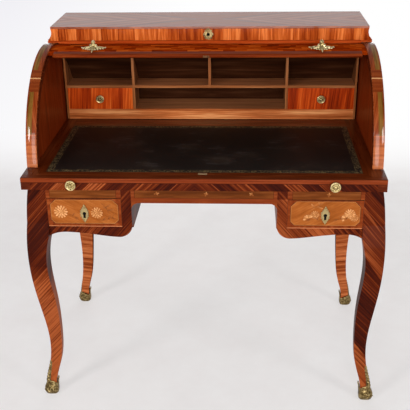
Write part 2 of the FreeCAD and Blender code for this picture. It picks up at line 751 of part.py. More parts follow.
rail_edges = front_edges(rail_blank.Shape, number("writing_height"))
slide_rail.Edges = [(index, rail_radius, rail_radius) for index in rail_edges]
settle(slide_rail, "slide_rail")
slide_knob = cast_knob("slide_knob", "knob_radius", "knob_reach")
facing_sitter(slide_knob, "knob_spread", "-slide_out", "writing_height - slide_depth / 2")
group("slide_knobs", slide_knob, mirrored("slide_knob_other", slide_knob))
STRIKE_FRONT = "(strike_back - slide_out)"
board("strike_plate", ("-strike_half", "strike_half"), (STRIKE_FRONT, f"{STRIKE_FRONT} + strike_width"),
      ("writing_height", "writing_height + strike_thick"))
runner = block("slide_runner", (f"{INSIDE} - runner_width", INSIDE), (LIP_BACK, SLIDE_BACK_IN),
               (CASE_TOP, f"{BOARD_LOW} - run_gap"), FRONT)
group("slide_runners", runner, mirrored("slide_runner_other", runner))

# Handles of the cylinder: leaf wings that lie on the shell with a knob on them, and the lock on its nose


def on_cylinder(piece, x, radius, angle):
    """Stands a piece made along z on the cylinder, pointing away from its axis."""
    piece.Placement.Rotation = FreeCAD.Rotation(FreeCAD.Vector(1, 0, 0), 90 - number(angle))
    y, z = polar(radius, angle)
    return seat(piece, x, f"{FRONT} + {y}", z)


handle_knob = cast_knob("handle_knob", "handle_knob_radius", "handle_reach")
waist = "(handle_half / 4)"
leaf_dip = ("handle_half / 2", "handle_leaf / 3")
wings = slab(
    "handle_wings", "XY", "handle_thick", ("handle_half", "0"),
    (leaf_dip, (waist, "handle_leaf")), ((f"-{waist}", "handle_leaf"),),
    ((f"-{leaf_dip[0]}", leaf_dip[1]), ("-handle_half", "0")),
    ((f"-{leaf_dip[0]}", f"-{leaf_dip[1]}"), (f"-{waist}", "-handle_leaf")), ((waist, "-handle_leaf"),),
    ((leaf_dip[0], f"-{leaf_dip[1]}"), ("handle_half", "0")))
handle = combine("Fuse", "cylinder_handle", handle_knob, wings)
on_cylinder(handle, "handle_spread", SHELL_OUT, "handle_angle")
group("cylinder_handles", handle, mirrored("cylinder_handle_other", handle))
MID_RADIUS = f"({SHELL_OUT} + {SHELL_IN}) / 2"
lock_plate = block("lock_plate", ("-lock_half", "lock_half"), ("-shell_thick / 4", "shell_thick / 4"),
                   ("0", "lock_thick"))
bolt = block("lock_bolt", ("-bolt_half", "bolt_half"), ("-shell_thick / 8", "shell_thick / 8"),
             ("0", "bolt_reach"))
cylinder_lock = combine("Fuse", "cylinder_lock", lock_plate, bolt)
cylinder_lock.Placement.Rotation = FreeCAD.Rotation(FreeCAD.Vector(1, 0, 0), 180 - number("lead_angle"))
lock_y, lock_z = polar(MID_RADIUS, "lead_angle")
keep(seat(cylinder_lock, "0", f"{FRONT} + {lock_y}", lock_z), "cylinder_lock")


# Drawers: a front board, a tray behind it and, where it locks, an escutcheon with the lock behind the front.

def tray(label, across, deep, tall, wall, floor):
    """Two sides, a back and a bottom, open at the top and against the front board."""
    outer = block(label + "_outer", across, deep, tall)
    hollow = block(label + "_hollow", (f"{across[0]} + {wall}", f"{across[1]} - {wall}"),
                    (f"{deep[0]} - {wall}", f"{deep[1]} - {wall}"),
                    (f"{tall[0]} + {floor}", f"{tall[1]} + {wall}"))
    return seat(combine("Cut", label, outer, hollow), y=FRONT)


def lock_set(label, x, y, z, half_width, half_height, inside):
    """A pierced escutcheon, pointed above and below, and the lock case behind the front."""
    plate = doc.addObject("PartDesign::Body", label + "_plate")
    sketch = new_sketch(plate, label + "_oval", "XZ_Plane")
    outline(sketch, ("0", half_height), ((half_width, "0"), ("0", f"-{half_height}")),
            ((f"-{half_width}", "0"), ("0", half_height)))
    slot = "keyhole_width / 2"
    shoulder = f"-sqrt(keyhole_radius ^ 2 - ({slot}) ^ 2)"
    outline(sketch, (slot, shoulder), ((slot, "-keyhole_drop"),), ((f"-{slot}", "-keyhole_drop"),),
            ((f"-{slot}", shoulder),), (("0", "keyhole_radius"), (slot, shoulder)))
    pad = plate.newObject("PartDesign::Pad", label + "_pad")
    pad.Profile = sketch
    pad.setExpression("Length", tied("plate_thick"))
    seat(plate, x, f"{FRONT} + ({y})", z)
    middle_x = f"({x})"
    case = block(label + "_case", (f"{middle_x} - lock_width / 2", f"{middle_x} + lock_width / 2"),
                 (inside, f"{inside} + lock_depth"),
                  (f"{z} - lock_height / 2", f"{z} + lock_height / 2"), FRONT)
    return plate, case


DRAWER_IN = f"({STILE_OUT} + drawer_gap)"
DRAWER_OUT = f"({POST_IN} - drawer_gap)"
DRAWER_MID = f"({DRAWER_IN} + {DRAWER_OUT}) / 2"
tray_low = "(drawer_low + run_gap)"
drawer_front = block("drawer_right_front", (DRAWER_IN, DRAWER_OUT), ("0", "front_board"),
                     (tray_low, "drawer_top - drawer_gap"), FRONT)
keep(drawer_front, "drawer_right_front")
keep(mirrored("drawer_left_front", drawer_front), "drawer_left_front")
drawer_tray = tray("drawer_right_tray", (DRAWER_IN, DRAWER_OUT),
                   ("front_board", "front_board + drawer_length"),
                   (tray_low, "drawer_top - tray_drop"), "tray_side", "tray_floor")
keep(drawer_tray, "drawer_right_tray")
keep(mirrored("drawer_left_tray", drawer_tray), "drawer_left_tray")
keyhole_height = "(drawer_low + drawer_top) / 2 - tray_floor / 2"
lock_pair = lock_set("drawer_right_lock", DRAWER_MID, "0", keyhole_height,
                     "plate_half_width", "plate_half_height", "front_board")
group("drawer_right_lock", *lock_pair)
group("drawer_left_lock", *[mirrored(item.Name + "_other", item) for item in lock_pair])

frieze_low = f"({FLOOR_TOP} + 2 * run_gap)"
frieze_tray_low = f"({FLOOR_TOP} + run_gap)"
frieze_out = f"({END_INSIDE} - drawer_gap)"
frieze_back = f"({TOP_FRONT} + frieze_front)"
board("frieze_front", (f"-{frieze_out}", frieze_out), (TOP_FRONT, frieze_back),
      (frieze_low, f"{TOP_UNDER} - drawer_gap"))
keep(tray("frieze_tray", (f"-{frieze_out}", frieze_out), (frieze_back, f"{TOP_FRONT} + frieze_length"),
          (frieze_tray_low, f"{TOP_UNDER} - frieze_drop"), "frieze_side", "frieze_bottom"), "frieze_tray")
frieze_middle = f"({frieze_low} + {TOP_UNDER}) / 2"
group("frieze_lock", *lock_set("frieze_lock", "0", TOP_FRONT, frieze_middle, "frieze_plate_half_width",
                               "frieze_plate_half_height", frieze_back))

small_in = "(divider_spread + divider_thick / 2 + small_gap)"
small_out = f"({UNIT_INSIDE} - small_gap)"
small_low = f"({BASE_TOP} + run_gap)"
small_back = f"({UNIT_FRONT} + small_front)"
small_front = block("small_drawer_right_front", (small_in, small_out), (UNIT_FRONT, small_back),
                    (small_low, f"{SHELF_LOW} - small_gap"), FRONT)
keep(small_front, "small_drawer_right_front")
keep(mirrored("small_drawer_left_front", small_front), "small_drawer_left_front")
small_end = f"{unit_reach(SHELF_LOW)} - small_room"
small_tray = tray("small_drawer_right_tray", (small_in, small_out), (small_back, small_end),
                  (small_low, f"{SHELF_LOW} - small_drop"), "small_side", "small_floor")
keep(small_tray, "small_drawer_right_tray")
keep(mirrored("small_drawer_left_tray", small_tray), "small_drawer_left_tray")
small_knob = cast_knob("small_drawer_right_knob", "small_knob_radius", "small_knob_reach")
facing_sitter(small_knob, f"({small_in} + {small_out}) / 2", UNIT_FRONT, f"({small_low} + {SHELF_LOW}) / 2")
keep(small_knob, "small_drawer_right_knob")
keep(mirrored("small_drawer_left_knob", small_knob), "small_drawer_left_knob")

# Every object has to be sound before the pieces are written
doc.recompute()
for item in doc.Objects:
    if "Invalid" in item.State or "Error" in item.State:
        raise RuntimeError(f"{item.Name} could not be made: {item.State}")
for piece in pieces:
    if piece.Shape.isNull() or not piece.Shape.isValid():
        raise RuntimeError(f"{piece.Label} has no sound shape")
os.makedirs("parts", exist_ok=True)
for piece in pieces:
    piece.Shape.exportStep(f"parts/{piece.Label}.step")
print(len(pieces), "pieces written")
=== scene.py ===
import bmesh
import bpy
import math
from mathutils import Euler, Matrix, Vector


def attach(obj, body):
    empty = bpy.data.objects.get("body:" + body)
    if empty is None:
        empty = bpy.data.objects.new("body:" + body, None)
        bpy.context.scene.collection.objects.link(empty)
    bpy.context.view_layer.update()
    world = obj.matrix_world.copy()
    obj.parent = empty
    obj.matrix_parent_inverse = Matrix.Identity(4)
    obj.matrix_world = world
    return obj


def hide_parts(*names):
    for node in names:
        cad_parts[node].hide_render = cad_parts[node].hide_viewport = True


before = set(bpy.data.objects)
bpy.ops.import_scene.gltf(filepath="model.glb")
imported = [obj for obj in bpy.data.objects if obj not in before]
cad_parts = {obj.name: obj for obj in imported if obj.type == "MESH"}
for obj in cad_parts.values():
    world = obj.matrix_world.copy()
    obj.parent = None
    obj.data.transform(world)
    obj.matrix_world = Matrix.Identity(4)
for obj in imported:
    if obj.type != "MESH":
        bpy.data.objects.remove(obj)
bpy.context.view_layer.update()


# Cabriole legs: posts of beech sawn to a double curve and covered with tulipwood.
# The veneer is laid aslant on each face and meets along the corner, so its streaks
# mirror each other there. The back legs are banded across instead.

def add(tree, kind, inputs=(), **settings):
    """A shader node with its inputs linked or set; gives its outputs."""
    made = tree.nodes.new("ShaderNode" + kind)
    for key, value in settings.items():
        setattr(made, key, value)
    for key, value in dict(inputs).items():
        if isinstance(value, bpy.types.NodeSocket):
            tree.links.new(value, made.inputs[key])
        else:
            made.inputs[key].default_value = value
    return made.outputs


def calc(tree, operation, *values):
    """A sum on numbers, some of which may be the outputs of other nodes."""
    return add(tree, "Math", dict(enumerate(values)), operation=operation)[0]


def ramp(tree, value, stops):
    """Colours by position along a 0 to 1 value."""
    made = tree.nodes.new("ShaderNodeValToRGB")
    tree.links.new(value, made.inputs[0])
    scale = made.color_ramp
    while len(scale.elements) < len(stops):
        scale.elements.new(0.5)
    for element, (position, colour) in zip(scale.elements, stops):
        element.position = position
        element.color = (*colour, 1.0)
    return made.outputs[0]


def layered(tree, share, under, over):
    """The colour over where share is 1, and the colour under elsewhere."""
    mixer = tree.nodes.new("ShaderNodeMix")
    mixer.data_type = "RGBA"
    for socket, value in ((mixer.inputs[0], share), (mixer.inputs[6], under), (mixer.inputs[7], over)):
        if isinstance(value, bpy.types.NodeSocket):
            tree.links.new(value, socket)
        elif isinstance(value, tuple):
            socket.default_value = (*value, 1.0)
        else:
            socket.default_value = value
    return mixer.outputs[2]


def place_of(tree):
    """The place on the piece, in metres."""
    return add(tree, "TexCoord")[3]


def normal_of(tree):
    """The way the surface faces."""
    return add(tree, "TexCoord")[1]


def parts_of(tree, vector):
    """The x, y and z of a vector."""
    return add(tree, "SeparateXYZ", {0: vector})


def chosen(tree, share, first, second):
    """The number second where share is 1, and first elsewhere."""
    return calc(tree, "ADD", first, calc(tree, "MULTIPLY", share, calc(tree, "SUBTRACT", second, first)))


def between(tree, value, low, high):
    """1 where a number lies between two limits."""
    return calc(tree, "MULTIPLY", calc(tree, "GREATER_THAN", value, low), calc(
        tree, "LESS_THAN", value, high))


def faced(tree, middle_x=0.0, middle_y=0.0325):
    """A place as it lies on its face: outwards from the middle, upwards, and a number for the facing."""
    x, y, z = parts_of(tree, place_of(tree))
    to_x, to_y, to_z = (calc(tree, "ABSOLUTE", part) for part in parts_of(tree, normal_of(tree)))
    x = calc(tree, "ABSOLUTE", calc(tree, "SUBTRACT", x, middle_x))
    y = calc(tree, "ABSOLUTE", calc(tree, "SUBTRACT", y, middle_y))
    sideways = calc(tree, "GREATER_THAN", to_x, to_y)
    flat = calc(tree, "GREATER_THAN", to_z, 0.8)
    across = chosen(tree, flat, chosen(tree, sideways, x, y), x)
    return add(tree, "CombineXYZ", {
        0: across, 1: chosen(tree, flat, z, y), 2: calc(tree, "MULTIPLY_ADD", flat, 2.0, sideways)})[0]


def laid(tree, vector, direction):
    """Turns a place so that the grain direction becomes its x."""
    turn = Vector(direction).rotation_difference(Vector((1, 0, 0)))
    return add(tree, "Mapping", {"Vector": vector, "Rotation": turn.to_euler()})[0]


def figured(tree, vector, tones, run, wide, seed=0.0, bite=0.32, leaf=0.0, shift=0.0, lift=0.0):
    """Colour and fine lines of a streaky veneer whose grain runs along the vector's x.
    With a leaf width, it is joined from leaves that differ in tone; lift makes it paler."""
    moved = add(tree, "Mapping", {
        "Vector": vector, "Location": (seed, seed * 0.6, seed * 0.3), "Scale": (run, wide, wide)})[0]
    bands = add(tree, "TexNoise", {
        "Vector": moved, "Scale": 1.0, "Detail": 3.0, "Roughness": 0.55, "Distortion": 0.2})[0]
    narrow = add(tree, "Mapping", {"Vector": moved, "Scale": (1.6, 5.0, 5.0)})[0]
    lines = add(tree, "TexNoise", {"Vector": narrow, "Scale": 1.0, "Detail": 3.0, "Roughness": 0.6})[0]
    both = calc(tree, "MULTIPLY_ADD", lines, bite, calc(tree, "MULTIPLY", bands, 1.0 - bite))
    if leaf:
        _, side, facing = parts_of(tree, vector)
        number = calc(tree, "FLOOR", calc(tree, "DIVIDE", side, leaf))
        number = calc(tree, "MULTIPLY_ADD", facing, 31.0, calc(tree, "ADD", number, seed))
        tint = add(tree, "TexWhiteNoise", {"W": number}, noise_dimensions="1D")[0]
        both = calc(tree, "MULTIPLY_ADD", calc(tree, "SUBTRACT", tint, 0.5), shift, both)
    if lift:
        both = calc(tree, "ADD", both, lift)
    return ramp(tree, both, tones), lines


def finish(name):
    """A new material and its node tree."""
    made = bpy.data.materials.new(name)
    made.use_nodes = True
    return made, made.node_tree


def polish(tree, colour, lines, dull=0.3, gleam=0.03, level=0.04):
    """French polish over a veneer: a clear coat, with the pores just felt under it."""
    shader = tree.nodes["Principled BSDF"]
    tree.links.new(colour, shader.inputs["Base Color"])
    spread = add(tree, "MapRange", {
        "Value": lines, "From Min": 0.3, "From Max": 0.7, "To Min": dull, "To Max": dull * 1.6})[0]
    tree.links.new(spread, shader.inputs["Roughness"])
    pores = add(tree, "Bump", {"Strength": 0.12, "Distance": 0.0003, "Height": lines})[0]
    tree.links.new(pores, shader.inputs["Normal"])
    shader.inputs["Specular IOR Level"].default_value = level
    shader.inputs["Coat Weight"].default_value = gleam
    shader.inputs["Coat Roughness"].default_value = 0.09


def dress(material, *names):
    """Puts a finish on CAD pieces."""
    for name in names:
        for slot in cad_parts[name].material_slots:
            slot.material = material


def toned(dark, middle, pale):
    """The stops of a wood with three tones."""
    return (0.30, dark), (0.50, middle), (0.70, pale)


TULIPWOOD = ((0.30, (0.051, 0.0067, 0.0012)), (0.42, (0.108, 0.015, 0.003)), (0.51, (0.188, 0.032, 0.0075)),
             (0.60, (0.345, 0.075, 0.019)), (0.72, (0.600, 0.180, 0.060)))
DEEP = ((0.30, (0.018, 0.0015, 0.0002)), (0.42, (0.044, 0.0043, 0.0006)), (0.51, (0.083, 0.0093, 0.0013)),
        (0.60, (0.173, 0.0272, 0.0042)), (0.72, (0.375, 0.0892, 0.0231)))
SLANT = (-1.0, 1.15, 0.0)
SIDES = ((-1, "left"), (1, "right"))
POST_X, KNEE_LEVEL, SHIN_LEVEL, JOINT_SLOPE = 0.43, 0.47, 0.36, 1.5
RIGHT_LEAVES = ((0.4685, 0.600, 0.09), (0.600, 0.800, -0.03), (0.150, 0.4685, -0.05), (0.0, 0.150, 0.14))
slanted, tree = finish("slanted_tulipwood")
x, y, z = parts_of(tree, place_of(tree))
# The left front leg is paler below the knee: partly a paler veneer, partly a painted sheen.
shin_tone_and_sheen = add(tree, "MapRange", {
    "Value": z, "From Min": KNEE_LEVEL, "From Max": SHIN_LEVEL, "To Min": 0.0, "To Max": 0.20})[0]
paler = calc(tree, "MULTIPLY", shin_tone_and_sheen, calc(tree, "LESS_THAN", x, 0.0))
left_post = calc(tree, "MULTIPLY", calc(tree, "LESS_THAN", x, -POST_X), calc(
    tree, "GREATER_THAN", z, KNEE_LEVEL))
paler = calc(tree, "MULTIPLY_ADD", left_post, -0.03, paler)
leaning = calc(tree, "MULTIPLY_ADD", calc(tree, "SUBTRACT", x, 0.476), JOINT_SLOPE, z)
right_leg = calc(tree, "GREATER_THAN", x, POST_X)
for low, high, change in RIGHT_LEAVES:
    held = calc(tree, "MULTIPLY", right_leg, between(tree, leaning, low, high))
    paler = calc(tree, "MULTIPLY_ADD", held, change, paler)
paler = calc(tree, "MULTIPLY_ADD", between(tree, x, 0.2, 0.36), 0.12, paler)
colour, lines = figured(
    tree, laid(tree, faced(tree), SLANT), DEEP, 4.0, 230.0, bite=0.4, leaf=0.05, shift=0.12, lift=paler)
polish(tree, colour, lines)
dress(slanted, "leg_front_left", "leg_front_right")
banded, tree = finish("cross_banded_tulipwood")
# Faces of the back legs that turn towards the middle are made darker, as painted shade.
facing = parts_of(tree, normal_of(tree))[0]
inward = calc(tree, "MULTIPLY", facing, calc(tree, "SIGN", parts_of(tree, place_of(tree))[0]))
lift = calc(tree, "MULTIPLY_ADD", calc(tree, "LESS_THAN", inward, -0.5), -0.24, 0.13)
colour, lines = figured(
    tree, laid(tree, faced(tree), (1.0, 0.12, 0.0)), TULIPWOOD, 4.0, 95.0, 3.1, 0.4, 0.045, 0.16, lift)
polish(tree, colour, lines, 0.4, 0.0, 0.0)
dress(banded, "leg_back_left", "leg_back_right")


# Sabots: hollow shoes of cast brass with a round toe, a scroll chased on each cheek, a leaf that climbs
# the corner of the leg and a lip behind the heel. Each slips over the foot of its leg and is pinned there.

BOW_RADIUS, BIT_HALF, BIT_DROP, BIT_REACH = 0.0050, 0.0033, 0.0065, 0.0070
BRASS = ((0.30, (0.060, 0.038, 0.012)), (0.48, (0.330, 0.235, 0.090)), (0.66, (0.680, 0.540, 0.270)))
DULL = ((0.30, (0.022, 0.013, 0.004)), (0.48, (0.165, 0.110, 0.040)), (0.66, (0.430, 0.320, 0.145)))


def aged_brass(name, size, tones, keyhole=None):
    """Cast brass: bright where it is rubbed, brown in the hollows, and with a keyhole painted black as
    painted shade.
    """
    made, tree = finish(name)
    vector = place_of(tree)
    cloud = add(tree, "TexNoise", {"Vector": vector, "Scale": size, "Detail": 5.0, "Roughness": 0.6})[0]
    worn = add(tree, "NewGeometry")[7]
    tone = calc(tree, "MULTIPLY_ADD", calc(tree, "SUBTRACT", worn, 0.5), 2.2, cloud)
    colour = ramp(tree, tone, tones)
    # The keyhole is painted near black on the plate, as painted shade.
    if keyhole:
        x, y, z = parts_of(tree, vector)
        aside = calc(tree, "ABSOLUTE", calc(tree, "SUBTRACT", x, keyhole[0]))
        under = calc(tree, "SUBTRACT", keyhole[1], z)
        bow = calc(tree, "LESS_THAN", calc(tree, "POWER", calc(tree, "MULTIPLY_ADD", aside, aside, calc(
            tree, "MULTIPLY", under, under)), 0.5), BOW_RADIUS)
        bit = calc(tree, "MULTIPLY", calc(tree, "LESS_THAN", aside, BIT_HALF), calc(
            tree, "LESS_THAN", calc(tree, "ABSOLUTE", calc(tree, "SUBTRACT", under, BIT_DROP)), BIT_REACH))
        colour = layered(tree, calc(tree, "MAXIMUM", bow, bit), colour, (0.0045, 0.003, 0.003))
    shader = tree.nodes["Principled BSDF"]
    tree.links.new(colour, shader.inputs["Base Color"])
    shader.inputs["Metallic"].default_value = 1.0
    dull = add(tree, "MapRange", {
        "Value": cloud, "From Min": 0.3, "From Max": 0.7, "To Min": 0.45, "To Max": 0.26})[0]
    tree.links.new(dull, shader.inputs["Roughness"])
    pits = add(tree, "TexNoise", {"Vector": vector, "Scale": size * 6.0, "Detail": 3.0})[0]
    skin = add(tree, "Bump", {"Strength": 0.25, "Distance": 0.0004, "Height": pits})[0]
    tree.links.new(skin, shader.inputs["Normal"])
    return made


def blob(shape, centre, radii, turn=(0.0, 0.0, 0.0)):
    """A rounded lump of a casting."""
    bmesh.ops.create_icosphere(shape, subdivisions=2, radius=1.0, matrix=Matrix.LocRotScale(
        Vector(centre), Euler(turn), Vector(radii)))


def placed(name, shape, body, material, slot, *nodes):
    """A new piece on a body, in place of the CAD pieces that are named."""
    mesh = bpy.data.meshes.new(name)
    shape.to_mesh(mesh)
    shape.free()
    mesh.materials.append(material)
    mesh.shade_smooth()
    made = bpy.data.objects.new(name, mesh)
    bpy.context.scene.collection.objects.link(made)
    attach(made, body)
    if nodes:
        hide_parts(*nodes)
    return made


def cast(made, size):
    """Fuses overlapping lumps into one casting with softened hollows."""
    fuse = made.modifiers.new("fuse", "REMESH")
    fuse.mode = "VOXEL"
    fuse.voxel_size = size
    fuse.use_smooth_shade = True
    soften = made.modifiers.new("soften", "SMOOTH")
    soften.factor = 0.5
    soften.iterations = 1


dull_brass = aged_brass("dull_brass", 160.0, DULL)
brass = aged_brass("aged_brass", 160.0, BRASS)
CASE_HALF, FOOT_FRONT, FOOT_BACK = 0.4805, -0.2345, 0.2995
SHOE = ((0.0, 5.0, 9.0, 15.0, 13.0), (3.0, 6.0, 10.0, 19.5, 16.5), (13.0, 7.0, 11.5, 22.0, 18.0),
        (25.0, 5.5, 10.0, 20.5, 16.5), (36.0, 3.8, 9.0, 18.3, 14.5), (46.0, 2.6, 7.8, 17.4, 12.8))
SHOE_TOP, SCROLL_STEPS, LEAF_STEPS = 46.0, 34, 15
CORNER = ((46.0, 15.8), (64.0, 13.6), (80.0, 10.6), (90.0, 8.6), (100.0, 6.7), (112.0, 4.8))


def row_at(table, height):
    """The row of a table of heights, worked out between its lines."""
    for low, high in zip(table, table[1:]):
        if height <= high[0]:
            share = max(0.0, (height - low[0]) / (high[0] - low[0]))
            return [a + (b - a) * share for a, b in zip(low[1:], high[1:])]
    return list(table[-1][1:])


def rounded(value):
    """Pushes a place on a circle outwards, towards a square with round corners."""
    return math.copysign(abs(value) ** (2.0 / 3.0), value)


def swell(value):
    """How full a rounded outline is at a place across it, from 1 in the middle to 0 at its end."""
    return max(0.0, 1.0 - abs(value) ** 3) ** (1.0 / 3.0)


shape = bmesh.new()
for across, deep, foot in ((-1, -1, FOOT_FRONT), (1, -1, FOOT_FRONT), (-1, 1, FOOT_BACK), (1, 1, FOOT_BACK)):
    def at(out, reach, height):
        """A spot by its place outwards and forwards from the corner of the case, in mm."""
        return Vector((across * (CASE_HALF + out * 0.001), foot + deep * reach * 0.001, height * 0.001))

    rings = []
    for height, mid_out, mid_reach, half_out, half_reach in SHOE:
        ring = bmesh.ops.create_circle(
            shape, cap_ends=height in (SHOE[0][0], SHOE[-1][0]), segments=28, radius=1.0)["verts"]
        rings.append(list({edge for corner in ring for edge in corner.link_edges}))
        for corner in ring:
            lean = (corner.co.x + corner.co.y) / math.sqrt(2.0)
            rise = height * (1.0 + height / SHOE_TOP * (0.27 * lean - 0.16))
            out, reach = rounded(corner.co.x), rounded(corner.co.y)
            corner.co = at(mid_out + half_out * out, mid_reach + half_reach * reach, rise)
    for low, high in zip(rings, rings[1:]):
        bmesh.ops.bridge_loops(shape, edges=low + high)
    for cheek in (0, 1):
        for step in range(SCROLL_STEPS):
            share = step / (SCROLL_STEPS - 1)
            angle = 2.3 - share * 9.0
            radius = 13.0 - 10.0 * share
            side, height = 6.5 + radius * math.cos(angle), 19.0 + 0.95 * radius * math.sin(angle)
            mid_out, mid_reach, half_out, half_reach = row_at(SHOE, height)
            if cheek == 0:
                spot = at(side, mid_reach + half_reach * swell((side - mid_out) / half_out), height)
            else:
                side += 4.0
                spot = at(mid_out + half_out * swell((side - mid_reach) / half_reach), side, height)
            blob(shape, spot, (0.0017,) * 3)
    for step in range(LEAF_STEPS):
        share = step / (LEAF_STEPS - 1)
        height = 44.0 + 68.0 * share
        corner = row_at(CORNER, height)[0] - 1.0
        size = (6.2 - 3.6 * share) * (1.12 if step % 2 else 0.86) * 0.001
        blob(shape, at(corner, corner, height), (size, size, size * 1.25))
        for side in ((corner - 4.0, corner), (corner, corner - 4.0)):
            blob(shape, at(*side, height - 2.0), (size * 0.62, size * 0.62, size * 0.95))
    for out, height, wide in ((-13.2, 30.0, 8.0), (-13.8, 38.0, 7.5), (-14.6, 46.0, 7.0), (-16.6, 53.0, 6.5)):
        blob(shape, at(out, 7.0, height), (0.0022, wide * 0.001, 0.0065))
bmesh.ops.recalc_face_normals(shape, faces=shape.faces[:])
cast(placed("cast_sabots", shape, "case", dull_brass, "brass", "sabots"), 0.0013)


# Lower case: oak boards tenoned between the posts and left waxed within. The back is plain, and slanted
# veneer covers the shaped aprons and the sides of the knee hole. The sides are dressed with the upper case.

OAK = toned((0.083, 0.033, 0.012), (0.180, 0.078, 0.030), (0.330, 0.165, 0.069))


def one_wood(name, tones, run, wide, seed, dull=0.3, gleam=0.03, bite=0.32, spot_of=place_of, direction=None):
    """A finish of a single wood all over a piece, with its grain crosswise or in a given direction."""
    made, tree = finish(name)
    spot = laid(tree, spot_of(tree), direction) if direction else spot_of(tree)
    colour, lines = figured(tree, spot, tones, run, wide, seed, bite)
    polish(tree, colour, lines, dull, gleam)
    return made


waxed_oak = one_wood("waxed_oak", OAK, 4.0, 60.0, 1.7, 0.45, 0.0, direction=(0.0, 1.0, 0.0))
dress(waxed_oak, "drawer_bearers", "drawer_guides", "dust_board", "slide_runners", "unit_bearer")
dress(one_wood("waxed_oak_across", OAK, 4.0, 60.0, 5.2, 0.45, 0.0), "lower_back", "upper_back", "top_back")
dress(slanted, "apron_left", "apron_right", "knee_sides")


# Front rail: one board over the drawers and the knee arch. Panels of olive-stained maple are let
# into it, framed by bands of tulipwood, and slanted veneer covers the posts beside the arch.

KNEE_HALF, POST_HALF, RAIL_HALF = 0.201, 0.229, 0.4375
KNEE_BAND, PANEL_LOW, PANEL_NEAR, PANEL_FAR, LINE = 0.011, 0.679, 0.243, 0.426, 0.0012
OLIVE = toned((0.096, 0.021, 0.003), (0.192, 0.048, 0.0075), (0.315, 0.096, 0.021))
BAND = toned((0.129, 0.017, 0.003), (0.213, 0.036, 0.006), (0.323, 0.075, 0.017))
inlaid, tree = finish("inlaid_rail")
spot = faced(tree)
out, rise, facing = parts_of(tree, spot)
wood, lines = figured(
    tree, laid(tree, spot, SLANT), DEEP, 4.0, 230.0, bite=0.4, leaf=0.05, shift=0.12)
strip, _ = figured(tree, spot, BAND, 6.0, 90.0, 2.3)
front = calc(tree, "LESS_THAN", facing, 0.5)
over_knee = calc(tree, "MULTIPLY", front, calc(tree, "LESS_THAN", out, KNEE_HALF))
field, _ = figured(tree, spot, OLIVE, 9.0, 70.0, 4.4, lift=calc(tree, "MULTIPLY", over_knee, -0.07))
over_drawer = calc(tree, "MULTIPLY", front, between(tree, out, POST_HALF, RAIL_HALF))
wood = layered(tree, calc(tree, "MAXIMUM", over_knee, over_drawer), wood, strip)
knee_edge = calc(tree, "MINIMUM", calc(tree, "SUBTRACT", KNEE_HALF - KNEE_BAND, out), calc(
    tree, "SUBTRACT", rise, PANEL_LOW))
drawer_edge = calc(tree, "MINIMUM", calc(tree, "SUBTRACT", out, PANEL_NEAR), calc(
    tree, "SUBTRACT", PANEL_FAR, out))
edge = calc(tree, "MAXIMUM", calc(tree, "ADD", over_knee, calc(tree, "SUBTRACT", knee_edge, 1.0)), calc(
    tree, "ADD", over_drawer, calc(tree, "SUBTRACT", drawer_edge, 1.0)))
wood = layered(tree, calc(tree, "GREATER_THAN", edge, 0.0), wood, field)
wood = layered(tree, between(tree, edge, -LINE, 0.0), wood, (0.090, 0.018, 0.0045))
polish(tree, wood, lines)
dress(inlaid, "front_rail")


# Writing slide: an oak board edged with dark veneer that carries a hide, with a thick front rail.
# The rail's veneer meets in a chevron near the middle under a lighter nosing along its upper edge.
# Two turned brass knobs draw the slide out, and a brass plate pinned to the board takes the cylinder's bolt.

RAIL_TOP, RAIL_BLOCK, CHEVRON = 0.753, 0.457, -0.02
EDGING = toned((0.051, 0.0067, 0.0012), (0.112, 0.018, 0.003), (0.225, 0.048, 0.013))
chevron, tree = finish("chevron_rail")
spot = faced(tree, CHEVRON)
out, rise, facing = parts_of(tree, spot)
x, y, z = parts_of(tree, place_of(tree))
reddish = add(tree, "MapRange", {
    "Value": x, "From Min": -0.15, "From Max": -0.25, "To Min": 0.0, "To Max": 0.07})[0]
wood, lines = figured(
    tree, laid(tree, spot, (-1.0, 0.95, 0.0)), DEEP, 4.0, 210.0, 7.0, 0.4, 0.032, 0.18, reddish)
nosing, _ = figured(
    tree, spot, toned((0.117, 0.015, 0.003), (0.203, 0.032, 0.006), (0.323, 0.068, 0.019)), 5.0, 160.0, 1.9)
block, _ = figured(
    tree, spot, toned((0.051, 0.0075, 0.0015), (0.090, 0.013, 0.003), (0.150, 0.028, 0.0075)),
    30.0, 90.0, 6.1)
wood = layered(tree, calc(tree, "GREATER_THAN", calc(tree, "ABSOLUTE", x), RAIL_BLOCK), wood, block)
wood = layered(tree, calc(tree, "GREATER_THAN", rise, RAIL_TOP), wood, nosing)
# A thin dark line just under the nosing is painted shade.
wood = layered(tree, between(tree, rise, RAIL_TOP - 0.0016, RAIL_TOP), wood, (0.045, 0.006, 0.0015))
upper, _ = figured(tree, spot, EDGING, 5.0, 70.0, 8.8)
wood = layered(tree, calc(tree, "GREATER_THAN", facing, 1.5), wood, upper)
polish(tree, wood, lines)
dress(chevron, "slide_rail")

HIDE_HALF, HIDE_FRONT, HIDE_BACK = 0.424, -0.2925, 0.0935
OUTER_FILLET, BORDER, INNER_FILLET = (0.0012, 0.0024), (0.003, 0.015), (0.0165, 0.018)
edging, tree = finish("dark_edging")
x, y, z = parts_of(tree, place_of(tree))
at_side = calc(tree, "GREATER_THAN", calc(tree, "ABSOLUTE", x), calc(
    tree, "ADD", HIDE_HALF, calc(tree, "MAXIMUM", 0.0, calc(tree, "SUBTRACT", HIDE_FRONT, y))))
spot = add(tree, "CombineXYZ", {0: chosen(tree, at_side, x, y), 1: chosen(tree, at_side, y, x), 2: z})[0]
colour, lines = figured(tree, spot, EDGING, 5.0, 70.0, 8.8)
polish(tree, colour, lines, 0.25, 0.3)
dress(edging, "slide_board")

